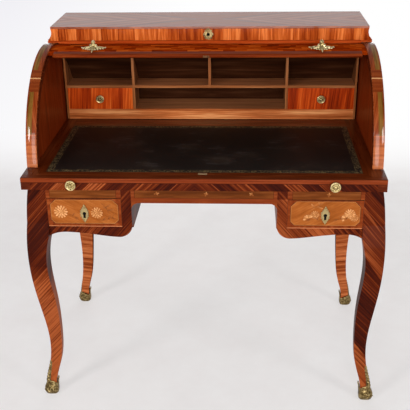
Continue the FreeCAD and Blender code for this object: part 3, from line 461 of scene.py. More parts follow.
hide, tree = finish("tooled_hide")
vector = place_of(tree)
x, y, z = parts_of(tree, vector)
inward = calc(tree, "MINIMUM", calc(tree, "SUBTRACT", HIDE_HALF, calc(tree, "ABSOLUTE", x)), calc(
    tree, "MINIMUM", calc(tree, "SUBTRACT", y, HIDE_FRONT), calc(tree, "SUBTRACT", HIDE_BACK, y)))
cloud = add(tree, "TexNoise", {"Vector": vector, "Scale": 9.0, "Detail": 6.0, "Roughness": 0.6})[0]
drawn = add(tree, "Mapping", {"Vector": vector, "Scale": (18.0, 60.0, 60.0)})[0]
scuffs = add(tree, "TexNoise", {"Vector": drawn, "Scale": 1.0, "Detail": 5.0, "Roughness": 0.7})[0]
skin = ramp(tree, cloud, (
    (0.35, (0.0067, 0.0054, 0.0046)), (0.55, (0.0115, 0.0083, 0.0066)), (0.72, (0.031, 0.021, 0.0145))))
scuffed = add(tree, "MapRange", {"Value": scuffs, "From Min": 0.52, "From Max": 0.75, "To Max": 0.55})[0]
skin = layered(tree, calc(tree, "MULTIPLY", calc(tree, "GREATER_THAN", cloud, 0.53), scuffed), skin, (
    0.070, 0.060, 0.058))
stamp = add(tree, "TexVoronoi", {"Vector": vector, "Scale": 190.0})[0]
wear = add(tree, "TexNoise", {"Vector": vector, "Scale": 55.0, "Detail": 4.0, "Roughness": 0.65})[0]
left = add(tree, "MapRange", {
    "Value": wear, "From Min": 0.36, "From Max": 0.6, "To Min": 0.15, "To Max": 0.85})[0]
border = calc(tree, "MULTIPLY", between(tree, inward, *BORDER), calc(
    tree, "MULTIPLY", calc(tree, "LESS_THAN", stamp, 0.52), left))
fillets = calc(tree, "MAXIMUM", between(tree, inward, *OUTER_FILLET), between(tree, inward, *INNER_FILLET))
kept = add(tree, "MapRange", {"Value": wear, "From Min": 0.4, "From Max": 0.55, "To Max": 0.8})[0]
gilt = calc(tree, "MAXIMUM", border, calc(tree, "MULTIPLY", fillets, kept))
shader = tree.nodes["Principled BSDF"]
tree.links.new(layered(tree, gilt, skin, (0.210, 0.145, 0.062)), shader.inputs["Base Color"])
dull = add(tree, "MapRange", {"Value": cloud, "To Min": 0.42, "To Max": 0.6})[0]
tree.links.new(dull, shader.inputs["Roughness"])
shader.inputs["Specular IOR Level"].default_value = 0.1
creases = add(tree, "TexNoise", {"Vector": vector, "Scale": 700.0, "Detail": 3.0})[0]
pressed = add(tree, "Bump", {"Strength": 0.2, "Distance": 0.0003, "Height": creases})[0]
tree.links.new(pressed, shader.inputs["Normal"])
dress(hide, "leather_inset")
RUBBED = ((0.30, (0.090, 0.060, 0.022)), (0.48, (0.400, 0.300, 0.135)), (0.66, (0.820, 0.690, 0.400)))
rubbed_brass = aged_brass("rubbed_brass", 160.0, RUBBED)
dress(rubbed_brass, "strike_plate")

KNOB = ((5.5, 0.0), (5.0, 3.0), (6.5, 5.5), (12.5, 7.0), (14.0, 9.0), (13.9, 11.0), (12.6, 12.6),
        (11.2, 12.3), (9.5, 11.2), (6.5, 11.4), (4.6, 13.2), (2.4, 14.9), (0.0, 15.4))
KNOB_PETALS, SLIDE_KNOB_X = 10, 0.347


def turned_knob(shape, x, y, z, size):
    """A knob lathed about its own axis, with petals chased round a boss; size turns mm into metres."""
    start = [shape.verts.new((x + radius * size, y - reach * size, z)) for radius, reach in KNOB]
    edges = [shape.edges.new(pair) for pair in zip(start, start[1:])]
    bmesh.ops.spin(shape, geom=start + edges, cent=(x, y, z), axis=(0.0, 1.0, 0.0), angle=math.tau,
                   steps=32, use_merge=True)
    for step in range(KNOB_PETALS):
        angle = step * math.tau / KNOB_PETALS
        blob(shape, (x + 8.2 * size * math.cos(angle), y - 11.6 * size, z + 8.2 * size * math.sin(angle)),
             (3.2 * size, 1.6 * size, 1.7 * size), (0.0, -angle, 0.0))


shape = bmesh.new()
for side in (-1, 1):
    turned_knob(shape, side * SLIDE_KNOB_X, -0.3385, 0.748, 0.001)
bmesh.ops.remove_doubles(shape, verts=shape.verts[:], dist=1e-6)
bmesh.ops.recalc_face_normals(shape, faces=shape.faces[:])
placed("slide_rosettes", shape, "writing_slide", brass, "brass", "slide_knobs")


# Upper case: side panels veneered aslant outside and dark within, each edged in front by a bent rim.
# The rims are crossbanded in tulipwood around an olive strip, pieced with a reddish block, and behind them
# stand the dark guides whose grooves hold the cylinder.

AXIS_Y, AXIS_Z, RIM_RADIUS = 0.0225, 0.745, 0.29
INNER_FACE, RIM_X, RIM_HALF, STRIP_SIDES = 0.466, 0.466, 0.0145, (0.4640, 0.4762)
FOOT_TOP, BLOCK_LOW, BLOCK_TOP, STRIP_TOP, RIM_END = (
    math.radians(angle) for angle in (22.0, 46.0, 61.0, 90.0, 92.0))
JOINT_LOW, JOINT_TOP, GLEAM_TOP, GLEAM_LOW = (math.radians(angle) for angle in (54.4, 55.1, 36.0, 24.0))
panelled, tree = finish("side_veneer")
spot = faced(tree)
wood, lines = figured(
    tree, laid(tree, spot, SLANT), TULIPWOOD, 2.2, 70.0, 5.5, 0.4, 0.11, 0.12, 0.05)
inner, _ = figured(
    tree, laid(tree, spot, (0.0, 1.0, 0.0)),
    toned((0.112, 0.012, 0.0015), (0.217, 0.026, 0.003), (0.345, 0.054, 0.012)), 3.0, 50.0, 6.6)
within = calc(tree, "LESS_THAN", calc(tree, "ABSOLUTE", parts_of(tree, place_of(tree))[0]), INNER_FACE)
polish(tree, layered(tree, within, wood, inner), lines)
dress(panelled, "side_panel_left", "side_panel_right", "lower_side_left", "lower_side_right")

rimmed, tree = finish("banded_rim")
x, y, z = parts_of(tree, place_of(tree))
x = calc(tree, "ABSOLUTE", x)
turn = calc(tree, "ARCTAN2", calc(tree, "SUBTRACT", z, AXIS_Z), calc(tree, "SUBTRACT", AXIS_Y, y))
spot = add(tree, "CombineXYZ", {0: x, 1: calc(tree, "MULTIPLY", turn, RIM_RADIUS), 2: 0.0})[0]
wood, lines = figured(
    tree, laid(tree, spot, (0.2, 1.0, 0.0)),
    toned((0.083, 0.009, 0.0015), (0.225, 0.036, 0.006), (0.495, 0.128, 0.033)), 6.0, 150.0, 2.6, 0.4)
olive, _ = figured(
    tree, laid(tree, spot, (0.0, 1.0, 0.0)),
    toned((0.090, 0.036, 0.0045), (0.188, 0.081, 0.012), (0.345, 0.162, 0.036)), 14.0, 160.0, 3.7)
block, _ = figured(tree, spot, BAND, 6.0, 90.0, 9.3)
foot, _ = figured(
    tree, spot, toned((0.225, 0.039, 0.0075), (0.405, 0.093, 0.021), (0.630, 0.195, 0.060)), 6.0, 120.0, 5.8)
strip = calc(tree, "MAXIMUM", between(tree, turn, FOOT_TOP, BLOCK_LOW), between(
    tree, turn, BLOCK_TOP, STRIP_TOP))
wood = layered(tree, between(tree, turn, BLOCK_LOW, BLOCK_TOP), wood, block)
wood = layered(tree, calc(tree, "LESS_THAN", turn, FOOT_TOP), wood, foot)
wood = layered(tree, calc(tree, "MULTIPLY", strip, between(tree, x, *STRIP_SIDES)), wood, olive)
wood = layered(tree, between(tree, turn, JOINT_LOW, JOINT_TOP), wood, (0.720, 0.360, 0.150))
wood = layered(tree, calc(tree, "GREATER_THAN", turn, RIM_END), wood, (0.135, 0.030, 0.009))
polish(tree, wood, lines, 0.22)
shader = tree.nodes["Principled BSDF"]
gleam = add(tree, "MapRange", {
    "Value": turn, "From Min": GLEAM_TOP, "From Max": GLEAM_LOW, "To Min": 0.03, "To Max": 0.85})[0]
tree.links.new(gleam, shader.inputs["Coat Weight"])
across = calc(tree, "DIVIDE", calc(tree, "SUBTRACT", x, RIM_X), RIM_HALF)
hump = add(tree, "Bump", {"Strength": 1.0, "Distance": 0.0035, "Height": calc(
    tree, "SUBTRACT", 1.0, calc(tree, "MULTIPLY", across, across))})[0]
tree.links.new(hump, shader.inputs["Coat Normal"])
dress(rimmed, "rim_left", "rim_right")
GUIDE = toned((0.045, 0.006, 0.001), (0.105, 0.014, 0.003), (0.200, 0.038, 0.010))
dress(one_wood("dark_guide", GUIDE, 5.0, 110.0, 6.4, 0.4, 0.0), "cylinder_guide_left", "cylinder_guide_right")


# Pigeonholes: a small unit of stained oak that stands at the back of the writing surface. Thin shelves
# and dividers are housed in it, with paler lipped front edges, and a pale board closes it below.

STAINED = ((0.30, (0.105, 0.032, 0.009)), (0.50, (0.210, 0.069, 0.022)), (0.80, (0.540, 0.210, 0.083)))
LIPPING = toned((0.195, 0.054, 0.013), (0.345, 0.112, 0.033), (0.510, 0.203, 0.072))
UNIT_FRONT = 0.1606
for name, direction, nodes in (
        ("stained_across", (1.0, 0.0, 0.0), ("unit_floor", "unit_shelf")),
        ("stained_upright", (0.0, 1.0, 0.0), ("unit_sides", "upper_dividers", "lower_dividers"))):
    stained, tree = finish(name)
    spot = laid(tree, faced(tree), direction)
    # Faces that look up are made paler, as painted light on the tops of the shelves and floor.
    painted_light_on_tops = calc(tree, "GREATER_THAN", parts_of(tree, normal_of(tree))[2], 0.5)
    dark, lines = figured(tree, spot, STAINED, 5.0, 60.0, 2.9, lift=calc(tree, "MULTIPLY", painted_light_on_tops, 0.25))
    pale, _ = figured(tree, spot, LIPPING, 6.0, 90.0, 4.1)
    lip = calc(tree, "LESS_THAN", parts_of(tree, place_of(tree))[1], UNIT_FRONT)
    polish(tree, layered(tree, lip, dark, pale), lines, 0.4, 0.1)
    dress(stained, *nodes)
# The back board of the unit is made very dark, as painted shade deep inside the pigeonholes.
SHADED = toned((0.018, 0.0045, 0.0015), (0.045, 0.013, 0.0045), (0.093, 0.033, 0.013))
PALE = ((0.34, (0.255, 0.051, 0.009)), (0.50, (0.630, 0.173, 0.045)), (0.64, (0.920, 0.405, 0.150)))
dress(one_wood("shaded_board", SHADED, 5.0, 60.0, 6.3, 0.45, 0.0, spot_of=faced), "unit_back")
dress(one_wood("pale_board", PALE, 5.0, 85.0, 7.7, bite=0.45, spot_of=faced), "unit_base_board")


# Small drawers: oak trays with fronts veneered in upright tulipwood, which slide on the unit's floor.
# Each is drawn by a turned brass knob, screwed through its front.

upright, tree = finish("upright_tulipwood")
ORANGE = ((0.30, (0.195, 0.015, 0.0015)), (0.44, (0.465, 0.042, 0.003)), (0.56, (0.720, 0.093, 0.0075)),
          (0.72, (0.920, 0.203, 0.033)))
x, y, z = parts_of(tree, place_of(tree))
spot = add(tree, "CombineXYZ", {0: x, 1: z, 2: 0.0})[0]
darker = calc(tree, "MULTIPLY", calc(tree, "GREATER_THAN", x, 0.0), -0.06)
colour, lines = figured(
    tree, laid(tree, spot, (0.08, 1.0, 0.0)), ORANGE, 7.0, 170.0, 1.2, 0.42, 0.034, 0.16, darker)
polish(tree, colour, lines)
dress(upright, "small_drawer_left_front", "small_drawer_right_front")
dress(waxed_oak, "small_drawer_left_tray", "small_drawer_right_tray")
for side, name in SIDES:
    shape = bmesh.new()
    turned_knob(shape, side * 0.3475, 0.1595, 0.8336, 0.00093)
    bmesh.ops.remove_doubles(shape, verts=shape.verts[:], dist=1e-6)
    bmesh.ops.recalc_face_normals(shape, faces=shape.faces[:])
    placed("small_rosette_" + name, shape, "small_drawer_" + name, brass, "brass",
           "small_drawer_" + name + "_knob")


# Lower drawers: oak trays dovetailed to fronts with a honey-coloured field, dark and light stringing with
# cut corners, and a crossband of tulipwood. Flowers and leaves of pale wood are sawn into the field.

FRONT_HALF, FRONT_RISE, FRONT_LEVEL = 0.10355, 0.043, 0.6333
FRONT_LOW, FRONT_TOP = FRONT_LEVEL - FRONT_RISE, FRONT_LEVEL + FRONT_RISE
LOCK_X, LOCK_LEVEL, KEYHOLE_HALF = 0.33325, 0.6305, 0.0055
FIELD_EDGE, DARK_LINE, LIGHT_LINE = 0.0080, 0.0092, 0.0100
KEYHOLE_SHADE = (0.006, 0.0045, 0.003)
HONEY = toned((0.232, 0.053, 0.006), (0.352, 0.095, 0.015), (0.510, 0.162, 0.036))
for side, name in SIDES:
    inlay, tree = finish("inlaid_drawer_" + name)
    x, y, z = parts_of(tree, place_of(tree))
    x = calc(tree, "SUBTRACT", x, side * LOCK_X)
    beside = calc(tree, "SUBTRACT", FRONT_HALF, calc(tree, "ABSOLUTE", x))
    below = calc(tree, "SUBTRACT", FRONT_RISE, calc(tree, "ABSOLUTE", calc(tree, "SUBTRACT", z, FRONT_LEVEL)))
    above = calc(tree, "ADD", calc(tree, "SUBTRACT", FRONT_TOP, z), 0.0045)
    edge = calc(tree, "MINIMUM", beside, calc(tree, "MINIMUM", above, calc(tree, "SUBTRACT", z, FRONT_LOW)))
    cut = calc(tree, "MINIMUM", edge, calc(tree, "MULTIPLY_ADD", calc(
        tree, "ADD", beside, below), 0.7071, -0.0115))
    at_side = calc(tree, "LESS_THAN", beside, below)
    crosswise = add(tree, "CombineXYZ", {
        0: chosen(tree, at_side, z, x), 1: chosen(tree, at_side, x, z), 2: at_side})[0]
    wood, lines = figured(tree, crosswise, BAND, 5.0, 75.0, 3.0 + side)
    spot = add(tree, "CombineXYZ", {0: x, 1: z, 2: 0.0})[0]
    field, _ = figured(tree, laid(tree, spot, (1.0, 0.5 * side, 0.0)), HONEY, 14.0, 60.0, 5.0 + side, 0.4)
    wood = layered(tree, calc(tree, "GREATER_THAN", cut, FIELD_EDGE), wood, field)
    wood = layered(tree, between(tree, cut, FIELD_EDGE, DARK_LINE), wood, (0.060, 0.012, 0.003))
    wood = layered(tree, between(tree, cut, DARK_LINE, LIGHT_LINE), wood, (0.540, 0.225, 0.069))
    # A pale line along the bottom edge is a painted highlight.
    wood = layered(tree, calc(tree, "LESS_THAN", z, FRONT_LOW + 0.0018), wood, (0.630, 0.225, 0.090))
    # A dark line along the top edge is painted shade in the gap under the rail.
    wood = layered(tree, calc(tree, "GREATER_THAN", z, FRONT_TOP - 0.0013), wood, (0.021, 0.0045, 0.0015))
    # The wood behind the keyhole is painted near black, as painted shade.
    keyhole_shade = calc(tree, "MULTIPLY", calc(tree, "LESS_THAN", calc(tree, "ABSOLUTE", x), KEYHOLE_HALF), between(
        tree, z, 0.618, 0.642))
    polish(tree, layered(tree, keyhole_shade, wood, KEYHOLE_SHADE), lines)
    dress(inlay, "drawer_" + name + "_front")
dress(waxed_oak, "drawer_left_tray", "drawer_right_tray")
for side, name in SIDES:
    key_plate = aged_brass("key_plate_" + name, 260.0, DULL, (side * LOCK_X, LOCK_LEVEL))
    dress(key_plate, "drawer_" + name + "_lock")


BORDER_THICK = 0.0014


def bordered(shape, x, y, z, half, tall, beads, bud=0.0042):
    """A chased border of beads on a pointed oval plate, with a bud above and a drop below."""
    for step in range(beads):
        angle = step * math.tau / beads
        narrow = 1.0 - 0.28 * abs(math.sin(angle)) ** 3
        size = 0.0026 if step % 2 else 0.0019
        spot = (x + half * narrow * math.cos(angle), y, z + tall * math.sin(angle))
        blob(shape, spot, (size, BORDER_THICK, size))
    for way in (-1, 1):
        blob(shape, (x, y, z + way * (tall + 0.0025)), (0.0028, BORDER_THICK, bud))
        blob(shape, (x, y, z + way * (tall - 0.004)), (0.0045, BORDER_THICK, 0.0026))


INLAY_FACE, INLAY_STEP, INLAY_THICK = -0.2675, 0.000001, 0.0003


def petal(shape, shade, x, z, long, wide, angle, tone):
    """A sawn leaf of veneer, darker at its root where it was scorched in hot sand."""
    face = INLAY_FACE - INLAY_STEP * len(shape.verts)
    made = bmesh.ops.create_circle(
        shape, cap_ends=True, segments=14, radius=1.0,
        matrix=Matrix.Translation((x, face + 0.0001, z)) @ Matrix.Rotation(-angle, 4, "Y") @ Matrix.Rotation(
            math.pi / 2, 4, "X") @ Matrix.Diagonal((long, wide, 1.0, 1.0)))
    for corner in made["verts"]:
        run = (corner.co.x - x) * math.cos(angle) + (corner.co.z - z) * math.sin(angle)
        corner[shade] = tone - 0.22 * (0.5 - 0.5 * run / long)


def sawn():
    """A new sheet of sawn leaves, and the layer that holds their tone."""
    shape = bmesh.new()
    return shape, shape.verts.layers.float.new("tone")


def rose(shape, shade, x, z, size, tone=0.92):
    """A round flower of three rings of petals about a dark heart."""
    for ring, (radius, count, long, wide) in enumerate((
            (0.76, 13, 0.27, 0.135), (0.44, 9, 0.22, 0.115), (0.16, 5, 0.16, 0.095))):
        for step in range(count):
            angle = (step + 0.37 * ring) * math.tau / count
            petal(shape, shade, x + size * radius * math.cos(angle), z + size * radius * math.sin(angle),
                  size * long, size * wide, angle, tone - 0.06 * ((step * 7 + ring * 3) % 4))


def fan(shape, shade, x, z, size, lean):
    """A half-open flower: a fan of petals over a small cup of leaves."""
    for row, (radius, count, long, wide) in enumerate(((0.78, 7, 0.29, 0.19), (0.40, 5, 0.28, 0.16))):
        for step in range(count):
            angle = lean + (step - (count - 1) / 2) * 0.42
            petal(shape, shade, x + size * radius * math.cos(angle), z + size * radius * math.sin(angle),
                  size * long, size * wide, angle, 0.86 - 0.12 * ((step + row) % 3))
    for turn in (-1.2, -0.4, 0.4, 1.2):
        angle = lean + math.pi + turn
        petal(shape, shade, x + size * 0.32 * math.cos(angle), z + size * 0.32 * math.sin(angle),
              size * 0.26, size * 0.09, angle, 0.42)


def spray(shape, shade, points, leaves, tone):
    """A curved stem of short pieces with pairs of slim leaves along it."""
    for (x0, z0), (x1, z1) in zip(points, points[1:]):
        angle = math.atan2(z1 - z0, x1 - x0)
        long = math.hypot(x1 - x0, z1 - z0) / 2
        petal(shape, shade, (x0 + x1) / 2, (z0 + z1) / 2, long * 1.12, 0.0006, angle, tone)
    for x, z, angle, long in leaves:
        petal(shape, shade, x + long * math.cos(angle), z + long * math.sin(angle),
              long, long * 0.30, angle, tone)


def let_in(name, shape, body):
    """Gives the sawn leaves their thickness and lets them into a face."""
    raised = bmesh.ops.extrude_face_region(shape, geom=shape.faces[:])["geom"]
    bmesh.ops.translate(shape, vec=(0.0, -INLAY_THICK, 0.0), verts=[
        part for part in raised if isinstance(part, bmesh.types.BMVert)])
    bmesh.ops.recalc_face_normals(shape, faces=shape.faces[:])
    made = placed(name, shape, body, marquetry, "marquetry")
    made.data.shade_flat()


marquetry, tree = finish("sand_shaded_marquetry")
tone = add(tree, "Attribute", attribute_name="tone")[2]
speck = add(tree, "TexNoise", {"Vector": add(tree, "Mapping", {
    "Vector": place_of(tree), "Scale": (160.0, 160.0, 600.0)})[0], "Scale": 1.0, "Detail": 3.0})[0]
value = calc(tree, "MULTIPLY_ADD", calc(tree, "SUBTRACT", speck, 0.5), 0.25, tone)
polish(tree, ramp(tree, value, ((0.15, (0.165, 0.039, 0.0075)), (0.45, (0.375, 0.117, 0.027)),
                                (0.70, (0.645, 0.285, 0.099)), (0.95, (0.840, 0.465, 0.210)))), speck)

shape, shade = sawn()
rose(shape, shade, -0.3996, 0.6350, 0.0190)
rose(shape, shade, -0.2985, 0.6325, 0.0165, 0.84)
spray(shape, shade, ((-0.300, 0.614), (-0.286, 0.610), (-0.270, 0.612), (-0.256, 0.620), (-0.249, 0.632)),
      ((-0.283, 0.611, 0.7, 0.006), (-0.268, 0.613, 1.0, 0.007), (-0.258, 0.619, -0.5, 0.006)), 0.40)
spray(shape, shade, ((-0.284, 0.661), (-0.274, 0.652), (-0.268, 0.641), (-0.266, 0.630)),
      ((-0.272, 0.650, 0.5, 0.008), (-0.267, 0.640, 0.2, 0.009), (-0.270, 0.645, 2.6, 0.006)), 0.46)
spray(shape, shade, ((-0.376, 0.628), (-0.362, 0.620), (-0.350, 0.617)),
      ((-0.368, 0.623, 0.9, 0.006), (-0.360, 0.619, -0.9, 0.006)), 0.44)
let_in("flowers_left", shape, "drawer_left")
shape, shade = sawn()
rose(shape, shade, 0.4000, 0.6345, 0.0150)
rose(shape, shade, 0.4130, 0.6235, 0.0110, 0.80)
fan(shape, shade, 0.3900, 0.6225, 0.0120, 2.6)
rose(shape, shade, 0.3045, 0.6320, 0.0120, 0.80)
fan(shape, shade, 0.2870, 0.6190, 0.0130, 2.0)
spray(shape, shade, ((0.304, 0.625), (0.310, 0.618), (0.318, 0.615)), ((0.311, 0.618, 1.1, 0.006),), 0.44)
spray(shape, shade, ((0.291, 0.646), (0.304, 0.654), (0.316, 0.659), (0.326, 0.668)),
      ((0.303, 0.653, 2.2, 0.008), (0.311, 0.656, -0.3, 0.008), (0.318, 0.660, 2.0, 0.006)), 0.62)
spray(shape, shade, ((0.384, 0.622), (0.372, 0.618), (0.358, 0.620)),
      ((0.378, 0.620, 2.2, 0.006), (0.366, 0.618, 3.6, 0.006)), 0.44)
let_in("flowers_right", shape, "drawer_right")
shape, shade = sawn()
RAIL_BUDS = ((-0.1309, 0.6915, 0.3), (0.0063, 0.6900, 1.4), (0.1319, 0.6910, 2.5), (0.3406, 0.6900, 1.5))
BUD_PETALS = ((-0.9, 0.0034, 0.55), (0.0, 0.0046, 0.68), (1.0, 0.0036, 0.50), (3.0, 0.0030, 0.45))
for x, z, lean in RAIL_BUDS:
    for turn, long, tone in BUD_PETALS:
        angle = lean + turn
        petal(shape, shade, x + long * math.cos(angle), z + long * 0.8 * math.sin(angle),
              long, 0.0017, angle, tone)
let_in("flowers_rail", shape, "case")
for side, name in SIDES:
    shape = bmesh.new()
    bordered(shape, side * LOCK_X, -0.2692, LOCK_LEVEL, 0.0108, 0.0205, 16)
    placed("chased_border_" + name, shape, "drawer_" + name, dull_brass, "brass")


# Cylinder: a shell of narrow oak staves glued edge to edge and covered with a parquetry of small blocks.
# A rounded nose closes its lower edge, with the bolt of its lock in the middle, and two leaf handles
# of cast brass are screwed to the shell.

SHELL_RADIUS, BLOCK_LONG, BLOCK_HIGH = 0.2844, 0.034, 0.020
parquet, tree = finish("block_parquetry")
x, y, z = parts_of(tree, place_of(tree))
turn = calc(tree, "ARCTAN2", calc(tree, "SUBTRACT", z, AXIS_Z), calc(tree, "SUBTRACT", AXIS_Y, y))
arc = calc(tree, "MULTIPLY", turn, SHELL_RADIUS)
row = calc(tree, "FLOOR", calc(tree, "DIVIDE", arc, BLOCK_HIGH))
shifted = calc(tree, "MULTIPLY_ADD", row, BLOCK_LONG * 0.43, x)
column = calc(tree, "FLOOR", calc(tree, "DIVIDE", shifted, BLOCK_LONG))
number = add(tree, "CombineXYZ", {0: column, 1: row})[0]
tint = add(tree, "TexWhiteNoise", {"Vector": number}, noise_dimensions="2D")[0]
spot = add(tree, "CombineXYZ", {0: x, 1: arc, 2: tint})[0]
BLOCKS = ((0.26, (0.108, 0.013, 0.001)), (0.40, (0.305, 0.026, 0.001)), (0.52, (0.490, 0.051, 0.002)),
          (0.66, (0.700, 0.124, 0.012)))
moved = add(tree, "Mapping", {"Vector": spot, "Scale": (8.0, 90.0, 40.0)})[0]
grain = add(tree, "TexNoise", {"Vector": moved, "Scale": 1.0, "Detail": 4.0, "Roughness": 0.6})[0]
tone = calc(tree, "MULTIPLY_ADD", calc(tree, "SUBTRACT", tint, 0.5), 0.24, grain)
polish(tree, ramp(tree, tone, BLOCKS), grain, 0.45, 0.0, 0.0)
dress(parquet, "cylinder_shell")
NOSE = toned((0.093, 0.011, 0.0015), (0.183, 0.024, 0.003), (0.300, 0.054, 0.009))
dress(one_wood("nose_moulding", NOSE, 5.0, 110.0, 4.9, 0.35, 0.0), "cylinder_nose")
WORN = ((0.30, (0.045, 0.014, 0.006)), (0.55, (0.120, 0.048, 0.020)), (0.75, (0.260, 0.130, 0.060)))
dress(aged_brass("worn_brass", 220.0, WORN), "cylinder_lock")

HANDLE_X, HANDLE_ANGLE = 0.327, math.radians(85.6)
STEM = ((2, 3.5, (12, 10, 5.5)), (-2, 10, (5.5, 5.0, 8)), (-2, 19, (6.6, 6.6, 5.8)),
        (-2, 24.5, (2.6, 2.6, 2.0)))
LEAVES = ((7, 1, 9, (5.2, 5.5, 6.5), 0.3), (11, 5, 5.0, (6.5, 4.2, 4.5), -0.7),
          (16, -1, 4.2, (7.5, 4.6, 4.0), 0.15), (19, 7, 3.0, (6.0, 3.0, 2.8), -0.45),
          (21, -6, 3.0, (5.5, 2.8, 2.6), 0.5), (25, 0, 3.4, (6.0, 3.6, 3.2), -0.1),
          (28, 5, 2.6, (3.6, 2.2, 2.2), -0.6), (31, -2, 3.0, (3.2, 2.4, 2.4), 0.3),
          (34, -3, 3.2, (2.6, 2.6, 2.6), 0.0), (6, 13, 3.2, (3.0, 6.5, 2.8), 0.4),
          (13, 12, 2.6, (2.6, 4.5, 2.2), 0.8))
DROP = ((17, 3.2, (4.0, 7.0, 3.2)), (26, 2.4, (2.8, 5.5, 2.2)), (33, 1.8, (1.8, 3.6, 1.6)),
        (-10, 2.6, (4.4, 5.0, 2.6)))
shape = bmesh.new()
for side in (-1, 1):
    away = Vector((0.0, -math.cos(HANDLE_ANGLE), math.sin(HANDLE_ANGLE)))
    down = Vector((0.0, -math.sin(HANDLE_ANGLE), -math.cos(HANDLE_ANGLE)))
    root = Vector((side * HANDLE_X, AXIS_Y, AXIS_Z)) + away * SHELL_RADIUS
    tilt = HANDLE_ANGLE - math.pi / 2

    def lump(sideways, fall, lift, radii, spin=0.0):
        """A lump of a handle by its place on the shell: sideways, down the curve and out of it, in mm."""
        centre = root + (Vector((sideways, 0.0, 0.0)) + down * fall + away * lift) * 0.001
        turned = Matrix.Rotation(-tilt, 3, "X") @ Matrix.Rotation(spin, 3, "Z")
        blob(shape, centre, [size * 0.001 for size in radii], turned.to_euler())

    for fall, lift, radii in STEM:
        lump(0, fall, lift, radii)
    for way in (-1, 1):
        for sideways, fall, lift, radii, spin in LEAVES:
            lump(way * sideways, fall, lift, radii, way * spin)
    for fall, lift, radii in DROP:
        lump(0, fall, lift, radii)
cast(placed("cast_handles", shape, "cylinder", rubbed_brass, "brass", "cylinder_handles"), 0.0008)


# Top box: a flat case that holds the long frieze drawer. Its top is quartered veneer under a high polish,
# the frieze is pieced from upright leaves, and a reddish bead runs along the floor's edge.

TOP_MIDDLE = 0.219
quartered, tree = finish("quartered_top")
spot = faced(tree, middle_y=TOP_MIDDLE)
colour, lines = figured(
    tree, laid(tree, spot, (1.0, 0.5, 0.0)),
    toned((0.165, 0.027, 0.006), (0.315, 0.066, 0.018), (0.495, 0.128, 0.042)), 2.0, 45.0, 3.3)
polish(tree, colour, lines, 0.3, 0.34, 0.14)
tree.nodes["Principled BSDF"].inputs["Coat IOR"].default_value = 1.6
dress(quartered, "top_board")

LEAF = 0.026
frieze, tree = finish("frieze_leaves")
x, y, z = parts_of(tree, place_of(tree))
wander = add(tree, "TexNoise", {"W": calc(tree, "MULTIPLY", x, 22.0), "Scale": 1.0, "Detail": 0.0},
             noise_dimensions="1D")[0]
leaves = calc(tree, "DIVIDE", calc(tree, "MULTIPLY_ADD", wander, 0.02, x), LEAF)
tint = add(tree, "TexWhiteNoise", {"W": calc(tree, "FLOOR", leaves)}, noise_dimensions="1D")[0]
spot = add(tree, "CombineXYZ", {0: z, 1: x, 2: tint})[0]
moved = add(tree, "Mapping", {"Vector": spot, "Scale": (9.0, 170.0, 30.0)})[0]
grain = add(tree, "TexNoise", {"Vector": moved, "Scale": 1.0, "Detail": 4.0, "Roughness": 0.62})[0]
tone = calc(tree, "MULTIPLY_ADD", calc(tree, "SUBTRACT", tint, 0.5), 0.30, grain)
colour = ramp(tree, tone, ((0.28, (0.247, 0.027, 0.0015)), (0.44, (0.465, 0.075, 0.0075)),
                           (0.56, (0.630, 0.129, 0.018)), (0.72, (0.885, 0.247, 0.057))))
# The wood behind the keyhole is painted near black, as painted shade.
keyhole_shade = calc(tree, "MULTIPLY", calc(tree, "LESS_THAN", calc(tree, "ABSOLUTE", x), KEYHOLE_HALF), between(
    tree, z, 1.036, 1.060))
polish(tree, layered(tree, keyhole_shade, colour, KEYHOLE_SHADE), grain)
dress(frieze, "frieze_front", "top_end_left", "top_end_right")
BEAD = toned((0.300, 0.030, 0.003), (0.510, 0.068, 0.0075), (0.750, 0.150, 0.030))
dress(one_wood("reddish_bead", BEAD, 5.0, 110.0, 8.1), "top_floor")
dress(waxed_oak, "frieze_tray")
dress(aged_brass("key_plate_frieze", 260.0, DULL, (0.0, 1.04755)), "frieze_lock")
shape = bmesh.new()
PLATE_Y, PLATE_LEVEL = 0.1038, 1.0475
bordered(shape, 0.0, PLATE_Y, PLATE_LEVEL, 0.0122, 0.0105, 16, 0.0030)
for way in (-1, 1):
    blob(shape, (way * 0.0125, PLATE_Y, PLATE_LEVEL), (0.0034, 0.0015, 0.0045))
    blob(shape, (way * 0.0085, PLATE_Y, 1.0590), (0.0030, 0.0015, 0.0026))
    blob(shape, (way * 0.0080, PLATE_Y, 1.0365), (0.0030, 0.0015, 0.0026))
    blob(shape, (way * 0.0042, PLATE_Y, 1.0622), (0.0026, 0.0013, 0.0026))
blob(shape, (0.0, PLATE_Y, 1.0630), (0.0024, 0.0015, 0.0040))
placed("chased_border_frieze", shape, "frieze_drawer", dull_brass, "brass")


# Studio: a wide pale floor that fades to white away from the desk, with soft boxes at both sides, in front
# and behind. The camera is at the eye height of a standing person and looks down at the writing surface.

paper, tree = finish("pale_paper")
shader = tree.nodes["Principled BSDF"]
vector = place_of(tree)
dirt = add(tree, "TexNoise", {"Vector": vector, "Scale": 4.0, "Detail": 6.0, "Roughness": 0.65})[0]
colour = ramp(tree, dirt, ((0.25, (0.800, 0.735, 0.722)), (0.75, (0.920, 0.885, 0.878))))
tree.links.new(colour, shader.inputs["Base Color"])
shader.inputs["Roughness"].default_value = 0.9
shader.inputs["Specular IOR Level"].default_value = 0.1
rays = add(tree, "LightPath")
seen = calc(tree, "MAXIMUM", calc(tree, "MAXIMUM", rays["Is Camera Ray"], rays["Is Glossy Ray"]),
            rays["Is Transmission Ray"])
x, y, z = parts_of(tree, vector)
behind = add(tree, "MapRange", {
    "Value": y, "From Min": 0.7, "From Max": 2.3}, interpolation_type="SMOOTHSTEP")[0]
distance = add(tree, "VectorMath", {0: vector}, operation="LENGTH")["Value"]
